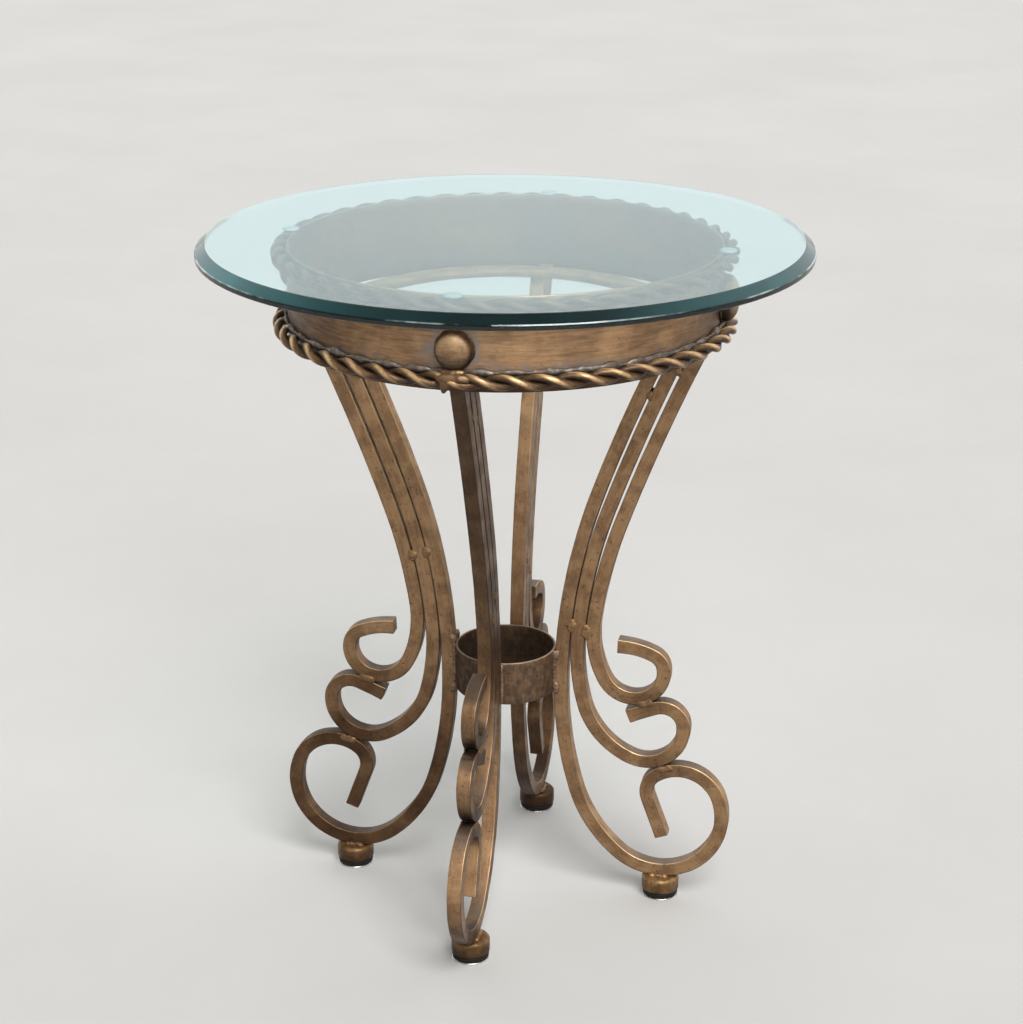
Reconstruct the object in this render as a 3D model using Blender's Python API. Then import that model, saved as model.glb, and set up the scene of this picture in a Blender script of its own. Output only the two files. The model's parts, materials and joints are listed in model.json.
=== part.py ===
"""Round end table: a welded scroll frame of square bar that carries a loose bevelled glass top.

Metres, +Z up. The origin is on the floor, on the table's centre line.
The four legs stand on the X and Y axes.
"""
import math

import bmesh
import bpy
from mathutils import Matrix

# Clearance between touching pieces
GAP = 0.0003

# Glass top: a flat disc with a wide bevel on its upper edge and a small arris on its lower one
TABLE_HEIGHT = 0.654
GLASS_RADIUS = 0.2794
GLASS_THICKNESS = 0.012
GLASS_BOTTOM = TABLE_HEIGHT - GLASS_THICKNESS
BEVEL_WIDTH = 0.0091
BEVEL_DROP = 0.007
ARRIS = 0.0005

# Clear pads that the glass rests on
PAD_RADIUS = 0.008
PAD_TOP_RADIUS = 0.007
PAD_THICKNESS = 0.0019
PAD_CIRCLE = 0.2025

# Apron band, and the twisted rods that trim its two edges
BAND_RADIUS = 0.198
BAND_THICKNESS = 0.003
BAND_BOTTOM = 0.566
BAND_TOP = 0.6395
ROD_RADIUS = 0.00325
ROD_OFFSET = 0.00345
ROPE_TURNS = 22
POINTS_PER_TURN = 6
UPPER_ROPE_HEIGHT = BAND_TOP - ROD_OFFSET - ROD_RADIUS
LOWER_ROPE_HEIGHT = 0.5769

# Dome studs on the band, one over each leg
STUD_RADIUS = 0.0165
STUD_DEPTH = 0.015
STUD_SIDE = 0.004
STUD_HEIGHT = 0.6025
CROWN_STEPS = 5

# Legs: four sets of three square bars
LEG_COUNT = 4
BAR = 0.0132
LEG_TOP = 0.5703
# Each bar is bent in its leg's upright plane. From its cut top, just inside the band, it heads down
# and inwards, then turns outwards through arcs of (radius, sweep in degrees), and ends in a straight tail.
BARS = {
    "inner_bar": {
        "top_radius": 0.1532,
        "heading": 244.67,
        "arcs": (
            (1.650, 5.83),
            (0.590, 20.5),
            (0.375, 15.5),
            (0.135, 34.0),
            (0.061, 152.0),
            (0.040, 103.5),
            (0.021, 74.0),
        ),
        "tail": 0.043,
    },
    "middle_bar": {
        "top_radius": 0.16925,
        "heading": 245.14,
        "arcs": (
            (2.000, 5.36),
            (0.500, 15.0),
            (0.210, 19.0),
            (0.080, 52.0),
            (0.037, 118.0),
            (0.020, 94.5),
            (0.028, 13.0),
        ),
        "tail": 0.026,
    },
    "outer_bar": {
        "top_radius": 0.1870,
        "heading": 244.64,
        "arcs": (
            (1.950, 5.86),
            (0.500, 11.5),
            (0.105, 34.5),
            (0.032, 79.5),
            (0.028, 86.0),
            (0.017, 53.5),
            (0.076, 22.0),
        ),
        "tail": 0.006,
    },
}

# Flat ring that lies on the inner bars' cut tops, inside the band, and ties them together
TIE_INNER_RADIUS = 0.138
TIE_OUTER_RADIUS = 0.1625
TIE_THICKNESS = 0.006

# Collar that ties the legs at the waist
COLLAR_BOTTOM = 0.2105
COLLAR_TOP = 0.2528
COLLAR_WALL = 0.0025

# Feet: a bun welded under the scroll, then a rubber cushion and a metal base on a pressed-in stem
FOOT_CIRCLE = 0.1555
BUN_RADIUS = 0.018
BUN_CROWN = 0.0035
BUN_HEEL = 0.0015
CUSHION_RADIUS = 0.0172
CUSHION_THICKNESS = 0.0045
CUSHION_ROUNDING = 0.001
ROUNDING_STEPS = 3
BASE_RADIUS = 0.0178
BASE_THICKNESS = 0.0017
BASE_CHAMFER = 0.0008
STEM_RADIUS = 0.003
STEM_BORE = 0.0033
STEM_REACH = 0.010

# How finely round shapes are divided, and how far a chord may stand off its arc
CHORD_ERROR = 0.0003
ROUND_STEPS = 16
STEM_STEPS = 12
RING_STEPS = 56
GLASS_STEPS = 80
ROPE_BEVEL_SETTING = 1
SMOOTH_ANGLE = 35.0
MERGE_DISTANCE = 0.000001

# Finishes
BRONZE = {"colour": (0.25, 0.155, 0.075, 1.0), "roughness": 0.45, "metallic": 0.7, "transmission": 0.0}
DARK_BRONZE = {"colour": (0.16, 0.105, 0.06, 1.0), "roughness": 0.55, "metallic": 0.7, "transmission": 0.0}
GREEN_GLASS = {"colour": (0.80, 0.93, 0.90, 1.0), "roughness": 0.02, "metallic": 0.0, "transmission": 1.0}
CLEAR_VINYL = {"colour": (0.90, 0.94, 0.94, 1.0), "roughness": 0.2, "metallic": 0.0, "transmission": 0.8}
BLACK_RUBBER = {"colour": (0.012, 0.012, 0.012, 1.0), "roughness": 0.7, "metallic": 0.0, "transmission": 0.0}
NICKEL = {"colour": (0.62, 0.60, 0.56, 1.0), "roughness": 0.3, "metallic": 1.0, "transmission": 0.0}


def clear_scene():
    for item in list(bpy.data.objects):
        bpy.data.objects.remove(item, do_unlink=True)


def make_material(name, finish):
    material = bpy.data.materials.new(name)
    material.use_nodes = True
    shader = material.node_tree.nodes["Principled BSDF"]
    shader.inputs["Base Color"].default_value = finish["colour"]
    shader.inputs["Roughness"].default_value = finish["roughness"]
    shader.inputs["Metallic"].default_value = finish["metallic"]
    shader.inputs["Transmission Weight"].default_value = finish["transmission"]
    return material


def make_empty(name, location=(0.0, 0.0, 0.0), turn=0.0, parent=None):
    empty = bpy.data.objects.new(name, None)
    empty.location = location
    empty.rotation_euler = (0.0, 0.0, turn)
    empty.parent = parent
    bpy.context.collection.objects.link(empty)
    return empty


def place(name, data, material, parent):
    """Links one named piece, with its material, under the empty that carries it."""
    piece = bpy.data.objects.new(name, data)
    if not data.materials:
        data.materials.append(material)
    piece.parent = parent
    bpy.context.collection.objects.link(piece)
    return piece


def finish_mesh(name, shape):
    """Turns a bmesh into a mesh that is smooth on its round faces and sharp on its corners."""
    bmesh.ops.recalc_face_normals(shape, faces=shape.faces)
    mesh = bpy.data.meshes.new(name)
    shape.to_mesh(mesh)
    shape.free()
    mesh.shade_smooth()
    mesh.set_sharp_from_angle(angle=math.radians(SMOOTH_ANGLE))
    return mesh


def turned(name, profile, steps, hollow=False):
    """Spins a profile of (radius, height) points about the Z axis. A hollow profile closes on itself."""
    shape = bmesh.new()
    corners = [shape.verts.new((radius, 0.0, height)) for radius, height in profile]
    edges = [shape.edges.new(pair) for pair in zip(corners, corners[1:])]
    if hollow:
        edges.append(shape.edges.new((corners[-1], corners[0])))
    bmesh.ops.spin(
        shape,
        geom=corners + edges,
        cent=(0.0, 0.0, 0.0),
        axis=(0.0, 0.0, 1.0),
        angle=math.tau,
        steps=steps,
        use_merge=True,
    )
    bmesh.ops.remove_doubles(shape, verts=shape.verts, dist=MERGE_DISTANCE)
    return finish_mesh(name, shape)


def arc_points(centre, radii, start, end, steps):
    """Points of an arc from one angle to another, in degrees, with its own radius each way."""
    points = []
    for step in range(steps + 1):
        angle = math.radians(start + (end - start) * step / steps)
        points.append((centre[0] + radii[0] * math.cos(angle), centre[1] + radii[1] * math.sin(angle)))
    return points


def bar_stations(bar):
    """Points down a bar's centre line, each as (radius, height, heading in radians)."""
    radius, height = bar["top_radius"], LEG_TOP
    heading = math.radians(bar["heading"])
    stations = [(radius, height, heading)]
    for bend, sweep_degrees in bar["arcs"]:
        sweep = math.radians(sweep_degrees)
        chord = 2.0 * math.acos(1.0 - CHORD_ERROR / bend)
        steps = max(2, math.ceil(sweep / chord))
        centre = (radius - bend * math.sin(heading), height + bend * math.cos(heading))
        for step in range(1, steps + 1):
            angle = heading + sweep * step / steps
            stations.append((centre[0] + bend * math.sin(angle), centre[1] - bend * math.cos(angle), angle))
        radius, height, heading = stations[-1]
    radius += bar["tail"] * math.cos(heading)
    height += bar["tail"] * math.sin(heading)
    stations.append((radius, height, heading))
    return stations


def bar_sides(bar):
    """Pairs of (radius, height) points on a bar's inward and outward faces. The top is cut level."""
    half = BAR / 2.0
    pairs = []
    for index, (radius, height, heading) in enumerate(bar_stations(bar)):
        across = (-math.sin(heading), math.cos(heading))
        if index == 0:
            across = (-1.0 / math.sin(heading), 0.0)
        outward = (radius + half * across[0], height + half * across[1])
        inward = (radius - half * across[0], height - half * across[1])
        pairs.append((inward, outward))
    return pairs


def bar_mesh(name, bar):
    """A square bar: one four-cornered section at each station, skinned and capped."""
    shape = bmesh.new()
    half = BAR / 2.0
    rings = []
    for inward, outward in bar_sides(bar):
        corners = ((inward, -half), (outward, -half), (outward, half), (inward, half))
        rings.append([shape.verts.new((point[0], side, point[1])) for point, side in corners])
    for upper, lower in zip(rings, rings[1:]):
        for corner in range(len(upper)):
            following = (corner + 1) % len(upper)
            shape.faces.new((upper[corner], upper[following], lower[following], lower[corner]))
    shape.faces.new(rings[0])
    shape.faces.new(rings[-1])
    return finish_mesh(name, shape)


def rod_loop(name, points):
    """A closed round rod along a loop of points."""
    curve = bpy.data.curves.new(name, "CURVE")
    curve.dimensions = "3D"
    curve.bevel_depth = ROD_RADIUS
    curve.bevel_resolution = ROPE_BEVEL_SETTING
    curve.twist_mode = "Z_UP"
    spline = curve.splines.new("POLY")
    spline.points.add(len(points) - 1)
    for knot, point in zip(spline.points, points):
        knot.co = (*point, 1.0)
    spline.use_cyclic_u = True
    return curve


def rope_points(height, phase):
    """One rod of a two-rod twist that runs round the band. Seen from outside it falls to the right."""
    circle = BAND_RADIUS + GAP + ROD_OFFSET + ROD_RADIUS
    count = ROPE_TURNS * POINTS_PER_TURN
    points = []
    for step in range(count):
        around = math.tau * step / count
        twist = phase - ROPE_TURNS * around
        radius = circle + ROD_OFFSET * math.cos(twist)
        lift = ROD_OFFSET * math.sin(twist)
        points.append((radius * math.cos(around), radius * math.sin(around), height + lift))
    return points


def build_glass(parent):
    """The disc's heights are measured from its underside, where the empty that carries it is."""
    profile = [
        (0.0, GLASS_THICKNESS),
        (GLASS_RADIUS - BEVEL_WIDTH, GLASS_THICKNESS),
        (GLASS_RADIUS, GLASS_THICKNESS - BEVEL_DROP),
        (GLASS_RADIUS, ARRIS),
        (GLASS_RADIUS - ARRIS, 0.0),
        (0.0, 0.0),
    ]
    material = make_material("glass_top", GREEN_GLASS)
    place("glass_top", turned("glass_top", profile, GLASS_STEPS), material, parent)


def build_band(parent):
    inner = BAND_RADIUS - BAND_THICKNESS
    profile = [(BAND_RADIUS, BAND_TOP), (BAND_RADIUS, BAND_BOTTOM), (inner, BAND_BOTTOM), (inner, BAND_TOP)]
    material = make_material("apron_band", BRONZE)
    place("apron_band", turned("apron_band", profile, RING_STEPS, hollow=True), material, parent)


def build_ropes(parent):
    for edge, height in (("upper", UPPER_ROPE_HEIGHT), ("lower", LOWER_ROPE_HEIGHT)):
        for rod, phase in (("a", 0.0), ("b", math.pi)):
            name = f"{edge}_rope_rod_{rod}"
            curve = rod_loop(name, rope_points(height, phase))
            place(name, curve, make_material(name, BRONZE), parent)


def build_tie_ring(parent):
    bottom = LEG_TOP + GAP
    top = bottom + TIE_THICKNESS
    profile = [
        (TIE_OUTER_RADIUS, top),
        (TIE_OUTER_RADIUS, bottom),
        (TIE_INNER_RADIUS, bottom),
        (TIE_INNER_RADIUS, top),
    ]
    material = make_material("tie_ring", DARK_BRONZE)
    place("tie_ring", turned("tie_ring", profile, RING_STEPS, hollow=True), material, parent)


def build_collar(parent):
    """A short tube that touches the inner bars from inside, where they come closest together."""
    waist = min(
        min(inward[0], outward[0])
        for inward, outward in bar_sides(BARS["inner_bar"])
        if COLLAR_BOTTOM - BAR < inward[1] < COLLAR_TOP + BAR
    )
    outer = waist - GAP
    inner = outer - COLLAR_WALL
    profile = [(outer, COLLAR_TOP), (outer, COLLAR_BOTTOM), (inner, COLLAR_BOTTOM), (inner, COLLAR_TOP)]
    material = make_material("waist_collar", DARK_BRONZE)
    place("waist_collar", turned("waist_collar", profile, RING_STEPS, hollow=True), material, parent)


def stud_mesh():
    """A dome with a short straight side, turned and laid over so that it points outwards."""
    crown_radii = (STUD_RADIUS, STUD_DEPTH - STUD_SIDE)
    crown = arc_points((0.0, STUD_SIDE), crown_radii, 90.0, 0.0, CROWN_STEPS)
    crown[0] = (0.0, STUD_DEPTH)
    mesh = turned("stud", crown + [(STUD_RADIUS, 0.0), (0.0, 0.0)], ROUND_STEPS)
    mesh.transform(Matrix.Rotation(math.radians(90.0), 4, "Y"))
    mesh.transform(Matrix.Translation((BAND_RADIUS + GAP, 0.0, STUD_HEIGHT)))
    return mesh


def pad_mesh():
    """A thin clear disc, tapered like a drop, under the glass and over the band's edge."""
    top = GLASS_BOTTOM - GAP
    bottom = top - PAD_THICKNESS
    profile = [(0.0, top), (PAD_TOP_RADIUS, top), (PAD_RADIUS, bottom), (0.0, bottom)]
    mesh = turned("glass_pad", profile, ROUND_STEPS)
    mesh.transform(Matrix.Translation((PAD_CIRCLE, 0.0, 0.0)))
    return mesh


def rounded_side(radius, top, bottom, top_rounding, bottom_rounding):
    """The outer side of a turned piece, from its top down, with both its edges rounded."""
    upper_centre = (radius - top_rounding, top - top_rounding)
    lower_centre = (radius - bottom_rounding, bottom + bottom_rounding)
    side = arc_points(upper_centre, (top_rounding, top_rounding), 90.0, 0.0, ROUNDING_STEPS)
    return side + arc_points(lower_centre, (bottom_rounding, bottom_rounding), 0.0, -90.0, ROUNDING_STEPS)


def foot_meshes():
    """The four pieces of a foot, stacked from the floor up to the underside of the inner bar."""
    underside = min(min(inward[1], outward[1]) for inward, outward in bar_sides(BARS["inner_bar"]))
    bun_top = underside - GAP
    cushion_bottom = BASE_THICKNESS + GAP
    cushion_top = cushion_bottom + CUSHION_THICKNESS
    bun_bottom = cushion_top + GAP
    stem_top = bun_bottom + STEM_REACH

    bun = [(0.0, bun_top)]
    bun += rounded_side(BUN_RADIUS, bun_top, bun_bottom, BUN_CROWN, BUN_HEEL)
    bun += [(STEM_BORE, bun_bottom), (STEM_BORE, stem_top + GAP), (0.0, stem_top + GAP)]

    cushion = [(STEM_BORE, cushion_top)]
    cushion += rounded_side(CUSHION_RADIUS, cushion_top, cushion_bottom, CUSHION_ROUNDING, CUSHION_ROUNDING)
    cushion += [(STEM_BORE, cushion_bottom)]

    base = [(0.0, BASE_THICKNESS), (BASE_RADIUS, BASE_THICKNESS), (BASE_RADIUS, BASE_CHAMFER)]
    base += [(BASE_RADIUS - BASE_CHAMFER, 0.0), (0.0, 0.0)]

    stem = [(0.0, stem_top), (STEM_RADIUS, stem_top), (STEM_RADIUS, cushion_bottom), (0.0, cushion_bottom)]

    meshes = {
        "foot_bun": turned("foot_bun", bun, ROUND_STEPS),
        "foot_cushion": turned("foot_cushion", cushion, ROUND_STEPS, hollow=True),
        "foot_base": turned("foot_base", base, ROUND_STEPS),
        "foot_stem": turned("foot_stem", stem, STEM_STEPS),
    }
    for mesh in meshes.values():
        mesh.transform(Matrix.Translation((FOOT_CIRCLE, 0.0, 0.0)))
    return meshes


def build_legs(parent):
    """Four alike legs. The copies of a piece share one mesh, and each hangs on its own leg's empty."""
    finishes = {
        "inner_bar": BRONZE,
        "middle_bar": BRONZE,
        "outer_bar": BRONZE,
        "stud": BRONZE,
        "glass_pad": CLEAR_VINYL,
        "foot_bun": BRONZE,
        "foot_cushion": BLACK_RUBBER,
        "foot_base": NICKEL,
        "foot_stem": NICKEL,
    }
    meshes = {name: bar_mesh(name, bar) for name, bar in BARS.items()}
    meshes["stud"] = stud_mesh()
    meshes["glass_pad"] = pad_mesh()
    meshes.update(foot_meshes())
    materials = {name: make_material(name, finish) for name, finish in finishes.items()}
    for number in range(1, LEG_COUNT + 1):
        turn = math.tau * (number - 1) / LEG_COUNT
        leg = make_empty(f"leg_{number}", turn=turn, parent=parent)
        for name, mesh in meshes.items():
            place(f"{name}_{number}", mesh, materials[name], leg)


def main():
    clear_scene()
    frame = make_empty("frame")
    top = make_empty("top", location=(0.0, 0.0, GLASS_BOTTOM))
    build_glass(top)
    build_band(frame)
    build_ropes(frame)
    build_tie_ring(frame)
    build_collar(frame)
    build_legs(frame)
    bpy.context.view_layer.update()


main()
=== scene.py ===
# %% [markdown]
# # A round end table of scrolled iron bar under loose bevelled glass
#
# The table is already modelled as plain solids, each in its right place and at its right size. This
# lesson dresses those solids. Every piece below is built where its solid stands, with the detail a
# workshop leaves on the real one: softened bar corners, weld lumps, a twisted rope edge, rubbed
# bronze paint and green-edged glass.
#
# The first step loads the solids and ties each to the body that it moves with.

# %% Load the imported table
import json
import math

import bmesh
import bpy
from mathutils import Matrix, Vector, noise

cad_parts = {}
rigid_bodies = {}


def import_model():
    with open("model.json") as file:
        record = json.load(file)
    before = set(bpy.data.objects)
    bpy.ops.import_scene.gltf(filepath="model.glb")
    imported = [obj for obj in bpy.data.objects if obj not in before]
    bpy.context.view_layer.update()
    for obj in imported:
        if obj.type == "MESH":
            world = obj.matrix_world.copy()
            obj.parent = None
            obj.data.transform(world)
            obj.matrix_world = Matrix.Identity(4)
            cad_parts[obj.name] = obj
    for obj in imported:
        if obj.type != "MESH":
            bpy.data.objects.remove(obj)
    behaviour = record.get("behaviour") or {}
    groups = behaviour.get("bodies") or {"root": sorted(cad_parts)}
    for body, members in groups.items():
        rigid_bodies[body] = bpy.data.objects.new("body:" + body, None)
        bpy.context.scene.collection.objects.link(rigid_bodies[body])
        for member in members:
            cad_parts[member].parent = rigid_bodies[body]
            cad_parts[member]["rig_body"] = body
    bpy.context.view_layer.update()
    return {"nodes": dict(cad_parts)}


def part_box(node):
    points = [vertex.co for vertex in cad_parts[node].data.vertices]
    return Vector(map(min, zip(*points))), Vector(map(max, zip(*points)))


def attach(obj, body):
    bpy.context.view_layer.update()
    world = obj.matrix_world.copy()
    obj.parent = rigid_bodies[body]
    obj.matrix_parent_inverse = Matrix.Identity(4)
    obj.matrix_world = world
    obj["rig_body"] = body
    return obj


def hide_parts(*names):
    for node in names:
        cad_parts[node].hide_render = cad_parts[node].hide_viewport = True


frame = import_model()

# %% [markdown]
# ## The camera
#
# The picture was taken from about two metres away with a lens near 80 mm, looking 20 degrees down and
# a little from the right of the front leg. A camera could be placed by eye, but a fit to the glass rim
# and the four feet gave these numbers.

# %% Camera
CAMERA_PLACE = (0.4300, -1.9735, 1.1272)
CAMERA_PITCH = 20.108
CAMERA_TURN = 12.134
CAMERA_LENS = 80.2

camera_data = bpy.data.cameras.new("camera")
camera_data.lens = CAMERA_LENS
camera = bpy.data.objects.new("camera", camera_data)
camera.location = CAMERA_PLACE
camera.rotation_euler = (math.radians(90.0 - CAMERA_PITCH), 0.0, math.radians(CAMERA_TURN))
bpy.context.scene.collection.objects.link(camera)
bpy.context.scene.camera = camera
print(f"camera at {CAMERA_PLACE}, lens {CAMERA_LENS} mm")

# %% [markdown]
# ## Small helpers for shader nodes
#
# Materials here are built from nodes in code. These few helpers keep that short: feed sets or links a
# socket, put adds a node, and mix, sums, vectors and ramp are the nodes that every recipe needs. Colours
# are written as the 0 to 255 values one reads off a picture and turned into linear light.

# %% Node helpers
def paint(red, green, blue):
    """A colour in linear light from 0 to 255 screen values."""
    linear = []
    for value in (red, green, blue):
        share = value / 255.0
        linear.append(share / 12.92 if share <= 0.04045 else ((share + 0.055) / 1.055) ** 2.4)
    return (*linear, 1.0)


def feed(tree, socket, value):
    if isinstance(value, bpy.types.NodeSocket):
        tree.links.new(value, socket)
    else:
        socket.default_value = value


def put(tree, kind, sockets=None, **settings):
    node = tree.nodes.new(kind)
    for name, value in settings.items():
        setattr(node, name, value)
    for name, value in (sockets or {}).items():
        feed(tree, node.inputs[name], value)
    return node


def mix(tree, share, first, second, blend="MIX"):
    sockets = {0: share, 6: first, 7: second}
    return put(tree, "ShaderNodeMix", sockets, data_type="RGBA", blend_type=blend).outputs[2]


def sums(tree, operation, first, second):
    return put(tree, "ShaderNodeMath", {0: first, 1: second}, operation=operation).outputs[0]


def vectors(tree, operation, first, second):
    return put(tree, "ShaderNodeVectorMath", {0: first, 1: second}, operation=operation).outputs


def ramp(tree, value, low, high, start=0.0, end=1.0):
    sockets = {"Value": value, "From Min": low, "From Max": high, "To Min": start, "To Max": end}
    return put(tree, "ShaderNodeMapRange", sockets, interpolation_type="SMOOTHSTEP").outputs["Result"]


print("node helpers ready")

# %% [markdown]
# ## Helpers for node groups
#
# An effect that several finishes share is a node group: a small recipe with named sockets. A group could
# be drawn by hand in the editor, but in code its sockets are a plain list, and a material places it with
# values of its own. Values are given by keyword, so patch_size feeds the socket called Patch size.

# %% Group helpers
FLOAT, COLOUR, VECTOR = "NodeSocketFloat", "NodeSocketColor", "NodeSocketVector"


def new_group(name, inputs, outputs):
    """A node group with named sockets. Inputs are (name, kind, value), outputs (name, kind)."""
    group = bpy.data.node_groups.new(name, "ShaderNodeTree")
    for label, kind, value in inputs:
        group.interface.new_socket(label, in_out="INPUT", socket_type=kind).default_value = value
    for label, kind in outputs:
        group.interface.new_socket(label, in_out="OUTPUT", socket_type=kind)
    return group, group.nodes.new("NodeGroupInput").outputs, group.nodes.new("NodeGroupOutput").inputs


def use_group(tree, group, sockets, values):
    """Places a group. Sockets go by their own names, values by keyword names."""
    named = {name.replace("_", " ").capitalize(): value for name, value in values.items()}
    return put(tree, "ShaderNodeGroup", {**sockets, **named}, node_tree=group).outputs


def effect(tree, group, place, **values):
    """The mask of an effect group at a place."""
    return use_group(tree, group, {"Vector": place}, values)["Mask"]


print("group helpers ready")

# %% [markdown]
# ## The light
#
# Polished glass and rubbed bronze show what surrounds them, so most of the light is a soft sky. Behind
# the table the sky is nearly white, because the glass is seen at a flat angle and mirrors that part of
# it. Towards the camera it is dimmer. A wide soft sun from the front right gives the bars a lit and a
# shaded side, and a glow in the sky beside the camera puts the warm gleam on the feet. A lamp panel
# could do that too, but from behind the table the glass would mirror its hard outline. The standard
# view transform keeps the colours as they are mixed.

# %% Sky
SKY_BACK = (0.98, 1.0, 1.02, 1.0)
SKY_FRONT = (0.23, 0.23, 0.235, 1.0)
SKY_FROM, SKY_TO = -0.2, 0.6
GLOW_FROM = Vector((0.31, -0.87, 0.38)).normalized()
GLOW_EDGE, GLOW_HEART = 0.92, 0.998
SKY_GLOW = (2.8, 2.75, 2.7, 1.0)

world = bpy.data.worlds.new("studio")
world.use_nodes = True
tree = world.node_tree
direction = put(tree, "ShaderNodeTexCoord").outputs["Generated"]
backwards = put(tree, "ShaderNodeSeparateXYZ", {"Vector": direction}).outputs["Y"]
sky = mix(tree, ramp(tree, backwards, SKY_FROM, SKY_TO), SKY_FRONT, SKY_BACK)
towards = vectors(tree, "DOT_PRODUCT", direction, GLOW_FROM)["Value"]
sky = mix(tree, ramp(tree, towards, GLOW_EDGE, GLOW_HEART), sky, SKY_GLOW)
feed(tree, tree.nodes["Background"].inputs["Color"], sky)
bpy.context.scene.world = world
print(f"sky of {len(tree.nodes)} nodes")

# %% Sun
SUN_FROM = Vector((0.38, -0.58, 0.85))
SUN_SPREAD = 34.0
SUN_STRENGTH = 2.7

sun = bpy.data.lights.new("sun", "SUN")
sun.energy = SUN_STRENGTH
sun.angle = math.radians(SUN_SPREAD)
sun_lamp = bpy.data.objects.new("sun", sun)
sun_lamp.rotation_mode = "QUATERNION"
sun_lamp.rotation_quaternion = SUN_FROM.to_track_quat("Z", "Y")
bpy.context.scene.collection.objects.link(sun_lamp)
bpy.context.scene.view_settings.view_transform = "Standard"
print(f"sun {SUN_SPREAD} degrees wide")

# %% [markdown]
# ## Four effects that the finishes share
#
# Bronze paint over iron is never one colour. It has cloudy patches where the patina is thicker, fine
# dark and bright specks, streaks from the brush, and bare edges where hands and cloths rub. Each effect
# is a node group with its own sizes as inputs, in metres, so a finish only says how big and how much.
# All four start from soft noise and differ in its size and in where it is cut off.

# %% Patches and specks
SPECK_LEVEL, SPECK_SPAN, SPECK_EDGE = 0.72, 0.25, 0.09


def soft_noise(tree, place, scale, detail, roughness):
    sockets = {"Vector": place, "Scale": scale, "Detail": detail, "Roughness": roughness}
    return put(tree, "ShaderNodeTexNoise", sockets).outputs["Fac"]


cloudy_patches, given, result = new_group(
    "cloudy patches",
    [("Vector", VECTOR, (0, 0, 0)), ("Size", FLOAT, 0.02), ("Low", FLOAT, 0.38), ("High", FLOAT, 0.64)],
    [("Mask", FLOAT)],
)
tree = cloudy_patches
cloud = soft_noise(tree, given["Vector"], sums(tree, "DIVIDE", 1.0, given["Size"]), 5.0, 0.62)
feed(tree, result["Mask"], ramp(tree, cloud, given["Low"], given["High"]))

fine_specks, given, result = new_group(
    "fine specks",
    [("Vector", VECTOR, (0, 0, 0)), ("Size", FLOAT, 0.001), ("Amount", FLOAT, 0.5)],
    [("Mask", FLOAT)],
)
tree = fine_specks
grains = soft_noise(tree, given["Vector"], sums(tree, "DIVIDE", 1.0, given["Size"]), 2.0, 0.5)
threshold = sums(tree, "SUBTRACT", SPECK_LEVEL, sums(tree, "MULTIPLY", given["Amount"], SPECK_SPAN))
feed(tree, result["Mask"], ramp(tree, grains, threshold, sums(tree, "ADD", threshold, SPECK_EDGE)))
print("effects:", [group.name for group in bpy.data.node_groups])

# %% Streaks and rubbed edges
STREAK_LOW, STREAK_HIGH = 0.34, 0.68
RUBBED_LOW, RUBBED_HIGH = 0.35, 0.9

brush_streaks, given, result = new_group(
    "brush streaks",
    [("Vector", VECTOR, (0, 0, 0)), ("Strokes per metre", VECTOR, (30, 600, 600))],
    [("Mask", FLOAT)],
)
tree = brush_streaks
stretched = vectors(tree, "MULTIPLY", given["Vector"], given["Strokes per metre"])[0]
hairs = soft_noise(tree, stretched, 1.0, 5.0, 0.65)
feed(tree, result["Mask"], ramp(tree, hairs, STREAK_LOW, STREAK_HIGH))

rubbed_edges, given, result = new_group(
    "rubbed edges",
    [
        ("Vector", VECTOR, (0, 0, 0)),
        ("Edge", FLOAT, 0.0),
        ("Patch size", FLOAT, 0.009),
        ("Ragged", FLOAT, 0.8),
    ],
    [("Mask", FLOAT)],
)
tree = rubbed_edges
wear = soft_noise(tree, given["Vector"], sums(tree, "DIVIDE", 1.0, given["Patch size"]), 4.0, 0.6)
uneven = sums(tree, "MULTIPLY", sums(tree, "SUBTRACT", wear, 0.5), given["Ragged"])
worn = sums(tree, "ADD", given["Edge"], uneven)
feed(tree, result["Mask"], ramp(tree, worn, RUBBED_LOW, RUBBED_HIGH))
print("effects:", [group.name for group in bpy.data.node_groups])

# %% [markdown]
# ## The antique bronze finish
#
# The whole frame wears one finish in several moods: umber paint brushed over with bronze, flecked with
# dirt, with gold on rubbed edges and a grey haze where a weld burned the paint. So the recipe is a group
# too. It takes the colours and the amount of each effect. Facing says how much a face looks up: faces
# that look down get painted shade, faces that look up turn grey with dust and a painted sheen of the
# sky, and where asked for, only the edges that look up keep their gold, as a painted highlight, while
# the edges that look down are darkened. Edge, Shade and Haze are numbers stored on the meshes.

# %% Antique bronze group
DIRT_SIZE, DIRT_AMOUNT = 0.0028, 0.36
FLECK_SIZE, FLECK_AMOUNT = 0.0011, 0.5
HAZE_SIZE = 0.011
NOISE_SHIFT = (3.7, 1.9, 5.3)

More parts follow.
